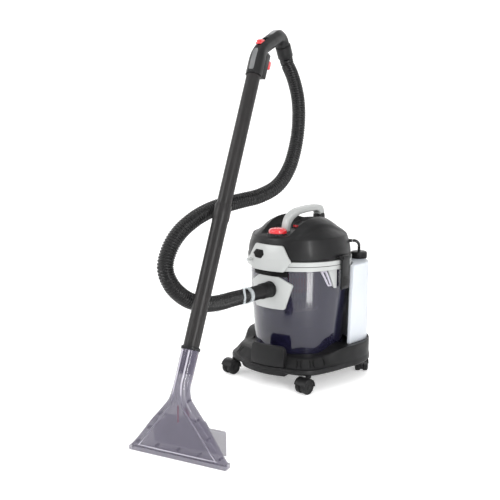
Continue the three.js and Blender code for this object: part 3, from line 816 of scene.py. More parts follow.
def fence_tree() -> Repeat:
    """Upright ribs round an axis: Count, Ring radius, Rib size and the Middle of the ring."""
    made = Repeat("ring_of_ribs", {
        "Count": "NodeSocketInt", "Ring": "NodeSocketFloat", "Rib": "NodeSocketVector",
        "Middle": "NodeSocketVector", "Turn": "NodeSocketVector", "Material": "NodeSocketMaterial"})
    tree, given = made.tree, made.given
    circle = add_node(tree, "GeometryNodeMeshCircle", {"Vertices": given["Count"], "Radius": given["Ring"]})
    rib = add_node(tree, "GeometryNodeMeshCube", {"Size": given["Rib"]})
    spot = add_node(tree, "GeometryNodeInputPosition")
    facing = add_node(tree, "FunctionNodeAlignRotationToVector", {"Vector": spot.outputs[0]}, axis="X",
                      pivot_axis="Z")
    spread = add_node(tree, "GeometryNodeInstanceOnPoints", {
        "Points": circle.outputs["Mesh"], "Instance": rib.outputs["Mesh"], "Rotation": facing.outputs[0]})
    real = add_node(tree, "GeometryNodeRealizeInstances", {0: spread.outputs[0]})
    moved = add_node(tree, "GeometryNodeTransform", {
        "Geometry": real.outputs[0], "Translation": given["Middle"], "Rotation": given["Turn"]})
    return made.close(moved.outputs[0])


@dataclass
class Workshop:
    """The trees that the sub-assemblies share."""

    hose: Repeat = field(default_factory=hose_tree)
    studs: Repeat = field(default_factory=stud_tree)
    fence: Repeat = field(default_factory=fence_tree)

    def ribs(self, name: str, middle: Vector, ring: float, rib: tuple[float, float, float], count: int,
             finish: Finish, body: str, turn: tuple[float, float, float] = (0, 0, 0)) -> bpy.types.Object:
        """Ribs round an axis.

        Args:
            name: the piece's name.
            middle: centre of the ring in the row frame.
            ring: its radius in millimetres.
            rib: depth, width and height of one rib in millimetres.
            count: how many ribs.
            finish: what they are made of.
            body: the body they ride on.
            turn: Euler angles that lay the axis.

        Returns:
            The piece.
        """
        made = self.fence.run(name, Shell([Vector((0, 0, 0))]), Matrix(), Count=count, Ring=ring * MM,
                              Rib=tuple(size * MM for size in rib), Middle=tuple(middle), Turn=turn,
                              Material=finish.make())
        made.data.shade_flat()
        return mount(made, finish, body)


# ---- sub-assemblies ---------------------------------------------------------------------------------
@dataclass
class Hoses:
    """The suction hose from the drum to the handle, and the clear spray hose that joins it."""

    shop: Workshop
    start_radius: float = 18.8
    end_radius: float = 16.2
    ridge: float = 3.3
    pitch: float = 7.2
    spray_radius: float = 3.3
    suction_diameter: float = 40.0
    suction_route: tuple[tuple[float, float, float], ...] = (
        (8, -256, 298), (8, -286, 298), (17, -340, 302), (38, -428, 310), (54, -505, 325), (59, -574, 353),
        (54, -618, 394), (47, -632, 437), (48, -622, 479), (53, -593, 521), (61, -538, 557), (70, -473, 579),
        (80, -430, 587), (89, -390, 593), (108, -330, 603), (122, -272, 627), (124, -222, 672),
        (119, -184, 737), (111, -161, 806), (92, -142, 871), (62, -128, 930), (36.74, -117.71, 962.4),
        (39.89, -131.5, 983.63))
    spray_route: tuple[tuple[float, float, float], ...] = (
        (-64, -182, 384), (-69, -203, 375), (-67, -228, 358), (-62, -262, 338), (-58, -290, 316),
        (-54, -318, 290), (-44, -340, 264), (-22, -352, 246), (4, -352, 243), (28, -342, 254),
        (41, -326, 276), (38, -311, 300), (33, -309, 324), (24, -300, 336), (17, -286, 339))

    def build(self) -> None:
        """Builds and dresses both hoses."""
        self.build_suction()
        self.build_spray()

    def build_suction(self) -> None:
        """The corrugated hose, thinner near the handle, where it is pulled long."""
        path = curve_through([Vector(point) for point in self.suction_route], 8)
        made = self.shop.hose.run(
            "suction_hose_corrugated", Shell(path), PLACES.machine, edges=True,
            Start_Radius=self.start_radius * MM, End_Radius=self.end_radius * MM, Ridge=self.ridge * MM,
            Pitch=self.pitch * MM, Sides=20, Material=HOSE_BLACK.make())
        turn_outwards(made.data)
        made.data.materials.clear()
        made.data.materials.append(HOSE_BLACK.make())
        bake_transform(made)
        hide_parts("suction_hose")

    def build_spray(self) -> None:
        """The clear tube from the head's outlet to the clip on the suction hose."""
        path = curve_through([Vector(point) for point in self.spray_route], 8)
        made = solid("spray_hose_tube", swept(path, wire(self.spray_radius), 12))
        soften(made, 0)
        made.data.materials.append(CLEAR_VINYL.make())
        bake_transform(made)
        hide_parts("spray_hose")


@dataclass
class Dolly:
    """The caster base with its front plate, tank bay and four twin-wheel casters."""

    radii: tuple[tuple[float, float], ...] = (
        (0, 197), (25, 200), (44, 214), (64, 200), (84, 195), (101, 209), (120, 226), (150, 228), (180, 227))
    wall_top: float = 69.0
    front_top: float = 97.0
    rear_top: float = 118.0
    bay_floor: float = 95.0
    bay_end: float = 96.5
    cutter_top: float = 125.0
    cup_radius: float = 138.6
    cup_outside: float = 143.0
    cup_mouth: float = 150.0
    sides: int = 240
    plate_angle: float = 6.5
    caster_out: float = 145.0
    caster_trail: float = 18.0
    axle_height: float = 22.5
    caster_turns: tuple[tuple[str, float], ...] = (
        ("front_right", -5), ("front_left", -5), ("rear_right", 40), ("rear_left", 20))
    groove_foot_share: float = 0.956
    groove_fall_share: float = 0.076
    groove_start: float = 2.5
    groove_rise: float = 22.5
    groove_angles: tuple[tuple[float, float], ...] = (
        (34.5, 1.2), (39.5, -1.2), (46, 1.2), (51, -1.2), (60.5, 0.8), (70, 0.5))

    def radius_at(self, angle: float) -> float:
        """Radius of the outline, smooth through the driving radii, at an angle in degrees."""
        turn = abs((angle + 180) % 360 - 180)
        knots = [(-a, r) for a, r in reversed(self.radii[1:3])] + list(self.radii)
        knots += [(360 - a, r) for a, r in reversed(self.radii[-3:-1])]
        k = max(i for i in range(1, len(knots) - 2) if knots[i][0] <= turn)
        (a0, r0), (a1, r1), (a2, r2), (a3, r3) = knots[k - 1:k + 3]
        share = (turn - a1) / (a2 - a1)
        m1 = (r2 - r0) / (a2 - a0) * (a2 - a1)
        m2 = (r3 - r1) / (a3 - a1) * (a2 - a1)
        s2, s3 = share ** 2, share ** 3
        return ((2 * s3 - 3 * s2 + 1) * r1 + (s3 - 2 * s2 + share) * m1
                + (3 * s2 - 2 * s3) * r2 + (s3 - s2) * m2)

    def level(self, front: tuple[float, float], rear: tuple[float, float] | None = None,
              smallest: float = 0.0) -> Ring:
        """One level of the base, which climbs along the sides from the front to the rear.

        Args:
            front: height and share of the outline's radius in front.
            rear: the same at the rear, or None where it is level.
            smallest: the least radius.

        Returns:
            The points of the level.
        """
        ring = []
        for i in range(self.sides):
            angle = 360 * i / self.sides
            climb = smoothstep(min(angle, 360 - angle), 58, 88)
            height, share = (a + (b - a) * climb for a, b in zip(front, rear or front))
            ring.append(around(angle, max(self.radius_at(angle) * share, smallest), height))
        return ring

    def crescent(self, start: float, end: float, back: float, low: float, high: float,
                 inner: float = 0.0) -> Shell:
        """Upright body round the machine's back.

        Args:
            start: angle from the front where it begins.
            end: outer radius at its two ends.
            back: outer radius round the back.
            low: lower height.
            high: upper height.
            inner: inner radius, or 0 to fill to the axis.

        Returns:
            The closed shell.
        """
        steps = 72
        angles = [start + (360 - 2 * start) * i / steps for i in range(steps + 1)]
        outline = []
        for angle in angles:
            swell = smoothstep(min(angle - start, 360 - start - angle), 0, 34)
            outline.append(tuple(around(angle, end + (back - end) * swell))[:2])
        if inner:
            outline += [tuple(around(angle, inner))[:2] for angle in reversed(angles)]
        return plate(outline, low, high)

    def build(self) -> None:
        """Builds and dresses the base, its plate, its grooves and the casters."""
        made = solid("dolly_base_shell", loft([
            self.level((50.5, 0.975)), self.level((52.5, 0.99)), self.level((55, 1.0)), self.level((64, 1.0)),
            self.level((67.4, 0.995)), self.level((self.wall_top, 0.982), (self.wall_top, 0.994)),
            self.level((69.8, 0.966), (69.8, 0.992)), self.level((71.4, 0.957), (72, 0.991)),
            self.level((92, 0.884), (112, 0.991)), self.level((95.6, 0.868), (116.2, 0.99)),
            self.level((self.front_top, 0.852), (self.rear_top, 0.985)),
            self.level((self.front_top, 0.5), (self.rear_top, 0.5))]))
        combine(made, Joinery.CUT, self.crescent(self.bay_end, 184, 223.5, self.bay_floor, self.cutter_top))
        hollow = solid("hollow", loft([self.level((40, 0.965)), self.level((62, 0.955), (62, 0.965)),
                                       self.level((90, 0.8), (91, 0.965), 155)]))
        combine(hollow, Joinery.CUT, rod(self.cup_outside, 63, 130, 120),
                self.crescent(90, 190, 230, 88, self.cutter_top))
        join(made, Joinery.CUT, hollow)
        combine(made, Joinery.CUT, rod(self.cup_radius, self.wall_top, 130, 120),
                rod(self.cup_mouth, 97.2, 130, 120), *self.grooves(2.3, 0.3))
        mount(soften(made, 0.7), DOLLY_BLACK, "machine", "dolly_base")
        skirt = ring_piece("dolly_skirt", [(186, 42), (196, 42), (197.5, 45), (197.5, 66), (186, 66)],
                           [(-92, 52), (-80, 42), (80, 42), (92, 52), (92, 68), (-92, 68)])
        mount(soften(skirt, 0.9), DOLLY_BLACK, "machine")
        self.build_plate()
        self.build_groove_shade()
        self.build_casters()

    def build_plate(self) -> None:
        """The raised front plate, with a blank face."""
        profile = [(165, 71), (199, 71), (198.8, 90), (197, 112), (193, 131.5), (191.6, 134), (187.5, 134)]
        right = [(58, 60), (58, 121), (56.5, 126), (51, 132), (47, 134)]
        outline = right + [(-across, z) for across, z in reversed(right)]
        made = ring_piece("front_plate_moulding", profile, outline, self.plate_angle)
        mount(soften(made, 1.2, 3), SATIN_BLACK, "machine", "front_plate")

    def grooves(self, width: float, depth: float) -> list[Shell]:
        """Curved rods along the rim's slope, on both sides of the plate.

        Args:
            width: their radius.
            depth: how far their axes lie under the slope.

        Returns:
            The closed rods.
        """
        rods = []
        for side in (1, -1):
            for angle, bow in self.groove_angles:
                path = []
                for k in range(11):
                    share = k / 10
                    shrink = self.groove_foot_share - self.groove_fall_share * share
                    radius = self.radius_at(angle) * shrink - depth
                    lean = angle + bow * 4 * share * (1 - share)
                    height = self.wall_top + self.groove_start + self.groove_rise * share
                    path.append(around(side * lean, radius, height))
                rods.append(swept(path, lambda s, a: width * max(1 - (2 * s - 1) ** 6, 0.1), 10))
        return rods

    def build_groove_shade(self) -> None:
        """Painted shade: near-black rods set deep in the rim's grooves, where the grooves are in shade."""
        shell = Shell()
        for groove in self.grooves(1.5, 1.4):
            shell = shell.joined(groove)
        dress("rim_groove_bottoms", shell, PORT_BLACK_AND_PAINTED_SHADE, "machine")

    def build_casters(self) -> None:
        """Four caster housings from the frame, with turned wheels."""
        tread = [(3.4, 4.6), (19, 4.6), (21.4, 5.4), (22.3, 7), (22.5, 9), (22.5, 15), (22.3, 17),
                 (21.4, 18.6), (19.6, 19.4), (16.5, 19.6), (16, 18.6), (8, 18.2), (7.6, 19.5), (3.4, 19.6)]
        for corner, trail in self.caster_turns:
            refine(f"caster_{corner}", SATIN_BLACK, 0.6)
            x = self.caster_out if corner.endswith("right") else -self.caster_out
            y = -self.caster_out if corner.startswith("front") else self.caster_out
            pivot = (PLACES.machine @ Matrix.Translation((x, y, 0))
                     @ Matrix.Rotation(math.radians(trail), 4, "Z")
                     @ Matrix.Translation((0, -self.caster_trail, self.axle_height)))
            for name, flip in (("a", 0.0), ("b", math.pi)):
                turn = Matrix.Rotation(flip, 4, "Z") @ Matrix.Rotation(math.pi / 2, 4, "Y")
                node = f"wheel_{corner}_{name}"
                dress(f"{node}_tyre", turned(tread, 64), TYRE, body_of_node(node), node, place=pivot @ turn)


@dataclass
class Drum:
    """The smoked drum, its grey collar and panels, and the round suction inlet."""

    shop: Workshop
    skin: float = 153.4
    inlet_x: float = 8.0
    inlet_z: float = 298.0

    def along_front(self, shell: Shell) -> Shell:
        """Lays a turned shell's axis through the inlet, towards the front."""
        lay = Matrix.Translation((self.inlet_x, 0, self.inlet_z)) @ Matrix.Rotation(math.pi / 2, 4, "X")
        return shell.placed(lay)

    def build(self) -> None:
        """Builds and dresses the drum's pieces."""
        hole = self.along_front(rod(18, 120, 190))
        wall = [(0, 70), (128, 70), (133, 71.5), (135.6, 75), (137, 92), (152, 280), (153, 330), (153, 384),
                (150, 384), (150, 330), (149, 280), (134, 92), (132.5, 77), (128, 73.5), (0, 73)]
        made = combine(solid("waste_drum_wall", turned(wall, 144)), Joinery.CUT, hole)
        mount(soften(made, 0), SMOKED, "machine", "waste_drum")
        self.build_collar()
        panel = ring_piece("inlet_panel_moulding",
                           [(self.skin, 232), (158.5, 232), (158.5, 342), (self.skin, 342)],
                           [(-36, 338), (36, 338), (42, 335.5), (75, 316.5), (77, 313), (55.5, 241),
                            (51, 238), (-51, 238), (-55.5, 241), (-77, 313), (-75, 316.5), (-42, 335.5)])
        combine(panel, Joinery.CUT, hole)
        mount(soften(panel, 1.3, 3), LIGHT_GREY, "machine", "inlet_panel")
        # Painted shade: a near-black band in the gap between the inlet panel and the head's panel.
        gap = ring_piece("panel_gap_band",
                         [(self.skin, 338.4), (157.4, 338.4), (158.6, 357), (self.skin, 357)],
                         [(-64, 338), (64, 338), (60, 358), (-60, 358)])
        mount(soften(gap, 0.5), PORT_BLACK_AND_PAINTED_SHADE, "machine")
        socket = [(14, 136), (17.3, 136), (17.3, 159.5), (25, 159.5), (25, 162), (24, 163), (17.3, 163),
                  (17.3, 190), (14, 190)]
        dress("inlet_socket_ring", self.along_front(turned(socket, 72)), SATIN_BLACK, "machine",
              "inlet_socket")
        cuff = [(17.8, 163.5), (22, 163.5), (23, 164.5), (23, 203), (22.4, 205), (21.5, 207), (21.5, 253),
                (20.5, 255), (17, 255), (17, 195), (17.8, 193)]
        dress("inlet_cuff_turned", self.along_front(turned(cuff, 72)), SATIN_BLACK, "inlet_cuff",
              "inlet_cuff")
        middle = PLACES.machine @ Vector((self.inlet_x, -187, self.inlet_z))
        self.shop.ribs("inlet_cuff_ribs", middle, 22.9, (1.6, 2.2, 30), 28, SATIN_BLACK, "inlet_cuff",
                       (math.pi / 2, 0, 0))
        refine("spray_clip", CLEAR_VINYL, 0.5)

    def build_collar(self) -> None:
        """The grey band round the drum's rim, with a near-black ring of painted shade in its parting line,
        side tabs and clear guides.
        """
        band = [(self.skin, 358), (163, 358), (164.5, 359.5), (164.5, 370.8), (163.4, 371.2), (163.4, 372.4),
                (164.5, 372.8), (164.5, 384.5), (163, 386), (self.skin, 386)]
        made = solid("drum_collar_band", turned(band, 180))
        mount(soften(made, 0, angle=28), LIGHT_GREY, "machine", "drum_collar")
        # Painted shade: a near-black ring sunk in the band's parting groove.
        line = turned([(163.2, 370.9), (163.9, 370.9), (163.9, 372.7), (163.2, 372.7)], 180)
        dress("collar_parting_line", line, PORT_BLACK_AND_PAINTED_SHADE, "machine")
        tab_profile = [(self.skin, 296), (158, 296), (158, 360), (self.skin, 360)]
        guide_profile = [(153.2, 300), (157, 300), (157, 357), (153.2, 357)]
        for side, angle in (("right", 90), ("left", -90)):
            for end, sign in (("front", -1), ("back", 1)):
                if side == "left":
                    sign = -sign
                tab = [(sign * a, z) for a, z in ((20.5, 359), (20.5, 300), (29, 300), (32, 303), (54, 359))]
                made = ring_piece(f"collar_tab_{side}_{end}", tab_profile, tab, angle)
                mount(soften(made, 0.9), LIGHT_GREY, "machine")
                guide = [(sign * a, z) for a, z in ((58, 356), (38, 308), (52, 308), (76, 356))]
                hole = [(sign * a, z) for a, z in ((62, 353), (44.5, 311), (49.5, 311), (70, 353))]
                made = ring_piece(f"clear_guide_{side}_{end}", guide_profile, guide, angle)
                combine(made, Joinery.CUT, sight_prism(hole, angle))
                mount(soften(made, 0.5), PALE_CLEAR_RIDGE_HIGHLIGHT, "machine")


@dataclass
class Head:
    """The motor head: domed cover, grey panel, carry handle, controls and what is inside."""

    shop: Workshop
    rows: int = 46
    sides: int = 192
    dome: tuple[tuple[float, float], ...] = (
        (0, 513), (30, 512), (46, 510), (60, 506.8), (72, 502.5), (84, 496.8), (96, 490), (108, 481.8),
        (118, 474), (128, 467), (137, 461), (142, 457.3), (147, 453))
    floor: tuple[tuple[float, float], ...] = (
        (-180, 457.5), (-146, 457.5), (-50, 468), (40, 473), (66, 477), (92, 496), (106, 530))
    button_y: float = -112.0
    port_angle: float = -11.0
    cover_wall: float = 2.6
    step_x: float = 74.0
    step_splay: float = 0.22
    step_drop: float = 4.0
    valley_half: float = 46.0
    valley_rise: float = 0.24
    valley_blend: float = 4.0

    @staticmethod
    def along(table: Outline, value: float) -> float:
        """Reads a table of (position, height) pairs at a position, straight between its rows."""
        if value <= table[0][0]:
            return table[0][1]
        for (a, low), (b, high) in zip(table, table[1:]):
            if value <= b:
                return low + (high - low) * (value - a) / (b - a)
        return table[-1][1]

    def height(self, x: float, y: float) -> float:
        """Height of the cover above the shoulder: a dome with a hand valley along the middle."""
        dome = self.along(self.dome, math.hypot(x, y))
        step = abs(x) - self.step_x - self.step_splay * (y + 120)
        dome -= (self.step_drop * smoothstep(step, -3, 9)
                 * (1 - smoothstep(y, 40, 110)) * smoothstep(y, -150, -90))
        valley = self.along(self.floor, y) + self.valley_rise * max(0.0, abs(x) - self.valley_half) ** 2
        soft = self.valley_blend
        share = min(1.0, max(0.0, 0.5 + 0.5 * (dome - valley) / soft))
        return dome + (valley - dome) * share - soft * share * (1 - share)

    def build(self) -> None:
        """Builds and dresses the head's pieces."""
        self.build_cover()
        self.build_panel()
        self.build_handle()
        self.build_controls()
        self.build_insides()
        self.build_latches()

    def build_cover(self) -> None:
        """The satin black cover: side wall, shoulder and sculpted top."""
        wall = [(161, 390), (161, 396), (160.8, 402), (158.5, 418), (155.4, 430), (152, 440), (149.6, 447.5),
                (148.2, 451.2), (146.2, 453.6)]
        rings: list[Ring] = [[around(360 * i / self.sides, r, z) for i in range(self.sides)] for r, z in wall]
        for k in range(self.rows):
            radius = 144.4 * (1 - k / self.rows)
            ring = [around(360 * i / self.sides, radius) for i in range(self.sides)]
            rings.append([Vector((p.x, p.y, self.height(p.x, p.y))) for p in ring])
        shell = loft(rings)
        shell.faces.pop(-2)
        made = solid("head_cover_dome", shell)
        wall_modifier = made.modifiers.new("wall", "SOLIDIFY")
        wall_modifier.thickness = self.cover_wall * MM
        wall_modifier.offset = -1
        settle(made)
        mount(soften(made, 0, angle=40), SATIN_BLACK, "head", "head_cover")
        foot = [(148, 388.2), (159, 388.2), (162.2, 389.4), (162.6, 391.2), (161.4, 392.6), (148, 392.6)]
        dress("head_foot_ring", turned(foot, 160), SATIN_BLACK, "head")
        tray = turned([(0, 380), (144, 380), (146, 382), (146, 387.5), (157, 387.5), (157, 391), (142, 391),
                       (142, 384), (0, 384)], 120)
        dress("head_tray_dish", tray, SATIN_BLACK, "head", "head_tray")

    def build_panel(self) -> None:
        """The grey hexagonal panel with its black spray port and hose outlet."""
        profile = [(166, 356), (170.5, 356), (172, 357.5), (172, 391), (171.4, 394), (163.6, 432), (162, 434),
                   (157.5, 434), (166, 399)]
        outline = [(-48, 434), (48, 434), (53, 430), (77, 391), (78, 386), (61, 359), (57, 356), (-57, 356),
                   (-61, 359), (-78, 386), (-77, 391), (-53, 430)]
        made = ring_piece("head_panel_moulding", profile, outline)
        port = [(-26, 404), (-13, 417), (18, 417), (24, 404), (15, 391), (-13, 391)]
        combine(made, Joinery.CUT, sight_prism(port, self.port_angle))
        mount(soften(made, 1.5, 3), LIGHT_GREY, "head", "head_panel")
        plug = [(a * 0.95, 404 + (z - 404) * 0.95) for a, z in port]
        made = ring_piece("spray_port_plug", [(161.6, 385), (170.4, 385), (168, 425), (161.6, 425)], plug,
                          self.port_angle)
        mount(soften(made, 1.2, 3), PORT_BLACK_AND_PAINTED_SHADE, "head", "spray_port")
        refine("spray_outlet", LIGHT_GREY, 0.4)

    def build_handle(self) -> None:
        """The fixed carry handle: a slim front leg that sweeps back to a broad grip."""
        outer = [(-84, 450), (-83, 470), (-79, 490), (-68, 509), (-48, 522), (-21, 530), (20, 534), (62, 535),
                 (92, 533.5), (108, 528), (115, 516), (116, 496), (115, 474)]
        inner = [(-62, 450), (-61, 470), (-57, 484), (-48, 495), (-34, 504), (-14, 511), (14, 514), (50, 515),
                 (78, 514), (88, 508), (92, 498), (93, 486), (92, 474)]
        half = [12, 12, 12.4, 13, 14, 15, 15.5, 15.5, 15.5, 15.5, 15.5, 15.5, 15.5]
        tops = curve_through([Vector((w, y, z)) for w, (y, z) in zip(half, outer)], 6)
        bottoms = curve_through([Vector((0, y, z)) for y, z in inner], 6)
        sides, squareness = 28, 0.5
        rings: list[Ring] = []
        for top, low in zip(tops, bottoms):
            reach_up = (Vector((0, top.y, top.z)) - low) / 2
            middle = low + reach_up
            ring = []
            for i in range(sides):
                angle = 2 * math.pi * i / sides
                c, s = math.cos(angle), math.sin(angle)
                across = math.copysign(abs(c) ** squareness, c) * top.x
                rise = reach_up * math.copysign(abs(s) ** squareness, s)
                ring.append(middle + Vector((across, 0, 0)) + rise)
            rings.append(ring)
        made = solid("carry_handle_arch", loft(rings))
        mount(soften(made, 0, angle=50), LIGHT_GREY, "head", "carry_handle")
        pad = solid("handle_rear_boss", loft([
            [Vector((w * math.cos(a), 104 + d * math.sin(a), z)) for a in
             [2 * math.pi * i / 24 for i in range(24)]] for w, d, z in
            ((21, 17, 476), (20, 16, 500), (18.5, 14, 505), (15, 11, 506))]))
        mount(soften(pad, 0), SATIN_BLACK, "head")

    def build_controls(self) -> None:
        """The red power button in its bezel, and the small pump switch."""
        at = Matrix.Translation((0, self.button_y, 0))
        bezel = [(28.6, 448), (33.5, 452), (33, 462.5), (31.4, 464.4), (29.6, 464.6), (28.6, 463.2)]
        dress("button_bezel", turned(bezel, 96).placed(at), SATIN_BLACK, "head")
        cap = [(0, 452), (27.6, 452), (28, 453), (28, 469), (27.4, 472.6), (25.4, 475.8), (21, 478.2),
               (13, 480), (0, 480.8)]
        dress("power_button_cap", turned(cap, 96).placed(at), GLOSS_RED, "power_button", "power_button")
        refine("pump_switch", GLOSS_RED, 0.6)
        frame_ring = solid("switch_bezel", block((-11, -27, 462), (11, -1, 472.2)))
        combine(frame_ring, Joinery.CUT, block((-8.8, -24.4, 455), (8.8, -3.6, 480)))
        mount(soften(frame_ring, 0.8), SATIN_BLACK, "head")

    def build_insides(self) -> None:
        """Motor, fan, pump, filter cage and float."""
        for node, finish in (("motor_housing", SATIN_BLACK), ("motor_stator", COPPER),
                             ("motor_armature", STEEL),
                             ("impeller", STEEL), ("pump_unit", SATIN_BLACK), ("pickup_spigot", SATIN_BLACK)):
            refine(node, finish, 0.4)
        for name, low, high in (("foot", 212, 220), ("head", 356, 379.5)):
            dress(f"filter_cage_{name}", pipe(60, 64, low, high, 96), FILTER, "head",
                  *(["filter_cage"] if name == "foot" else []), bevel=0.5)
        dress("filter_cage_floor", rod(61, 212, 214.5, 96), FILTER, "head", bevel=0.5)
        middle = PLACES.machine @ Vector((0, 0, 288))
        self.shop.ribs("filter_cage_ribs", middle, 62, (3.4, 3.0, 140), 44, FILTER, "head")
        for k in range(3):
            dress(f"filter_cage_hoop_{k}", pipe(59.5, 61.5, 250 + 35 * k, 253 + 35 * k, 96), FILTER, "head")
        cup = [(33, 266), (36, 266), (36.4, 268), (36, 300), (34.5, 308), (30, 316), (22, 321), (10, 323),
               (0, 323.4), (0, 320.4), (10, 320), (21, 318), (28, 313), (32, 306), (33, 299)]
        dress("float_cup_red", turned(cup, 72), GLOSS_RED, "float_cup", "float_cup")

    def build_latches(self) -> None:
        """The two side latches with ribbed faces, and their pins."""
        for side, sign in (("right", 1), ("left", -1)):
            refine(f"latch_{side}", SATIN_BLACK, 1.2)
            refine(f"latch_pin_{side}", SATIN_BLACK, 0.5)
            shell = Shell()
            near, far = sorted((sign * 176, sign * 177.6))
            for k in range(7):
                height = 306 + 4.6 * k
                shell = shell.joined(block((near, -14.0, height), (far, 14.0, height + 1.8)))
            dress(f"latch_grip_{side}", shell, SATIN_BLACK, f"latch_{side}", bevel=0.4)


@dataclass
class Tank:
    """The clean water tank, its cap and the pickup tube."""

    shop: Workshop
    dolly: Dolly
    neck_angle: float = 141.0
    neck_radius: float = 197.0
    start: float = 99.5
    end_lean: float = 3.3
    foot: float = 97.5
    shoulder: float = 362.0
    wall: float = 3.5
    groove_levels: tuple[tuple[float, float], ...] = ((128, 133), (330, 335))

    def before_ends(self, gap: float) -> list[Shell]:
        """Blocks in front of the two ends, which lean back towards the top.

        Args:
            gap: how far behind the ends' planes the blocks stop, in millimetres.

        Returns:
            The two blocks.
        """
        blocks = []
        for side, low, high in ((1, 150, 240), (-1, -240, -150)):
            place = (Matrix.Translation((0, 0, self.foot))
                     @ Matrix.Rotation(side * math.radians(self.start - 90), 4, "Z")
                     @ Matrix.Rotation(-math.radians(self.end_lean), 4, "X"))
            blocks.append(block((low, -60, -10), (high, gap, 300)).placed(place))
        return blocks

    def build(self) -> None:
        """Builds and dresses the tank's pieces."""
        made = solid("clean_tank_bottle", self.dolly.crescent(self.start, 181, 221.5, self.foot,
                                                              self.shoulder, 167))
        combine(made, Joinery.CUT, *self.before_ends(0))
        soften(made, 5.0, 4)
        settle(made)
        for low, high in self.groove_levels:
            band = solid("tank_groove", self.dolly.crescent(self.start - 2, 190, 232, low, high))
            inside = self.dolly.crescent(self.start - 4, 179.4, 219.7, low - 1, high + 1)
            join(made, Joinery.CUT, combine(band, Joinery.CUT, inside))
        neck = around(self.neck_angle, self.neck_radius)
        at = Matrix.Translation(neck)
        collar = turned([(0, 355), (24, 355), (24, 362.6), (21, 364.2), (19.5, 365.2), (19.5, 377), (0, 377)],
                        72)
        combine(made, Joinery.ADD, collar.placed(at))
        hollow = solid("tank_hollow", self.dolly.crescent(self.start, 178, 218.5, self.foot + self.wall,
                                                          self.shoulder - self.wall, 170))
        combine(hollow, Joinery.CUT, *self.before_ends(self.wall))
        join(made, Joinery.CUT, hollow)
        combine(made, Joinery.CUT, rod(16, 350, 380).placed(at))
        mount(soften(made, 0), NATURAL_HDPE, "tank", "clean_tank")
        cap = [(0, 386), (22, 386), (24.8, 384.6), (25.6, 382), (25.6, 366), (25, 365), (20.2, 365),
               (20.2, 380), (0, 380)]
        dress("tank_cap_turned", turned(cap, 96).placed(at), SATIN_BLACK, "tank_cap", "tank_cap")
        middle = PLACES.machine @ (neck + Vector((0, 0, 374)))
        self.shop.ribs("tank_cap_knurl", middle, 25.4, (1.4, 1.7, 15), 40, SATIN_BLACK, "tank_cap")
        path = [around(122, 166.4, 430), around(122.5, 172, 430), around(127, 180, 425),
                around(133, 189, 414), Vector((neck.x, neck.y, 400)), Vector((neck.x, neck.y, 386.6))]
        dress("pickup_tube_bent", swept(curve_through(path, 10), wire(4.6), 16), SATIN_BLACK, "tank",
              "pickup_tube")


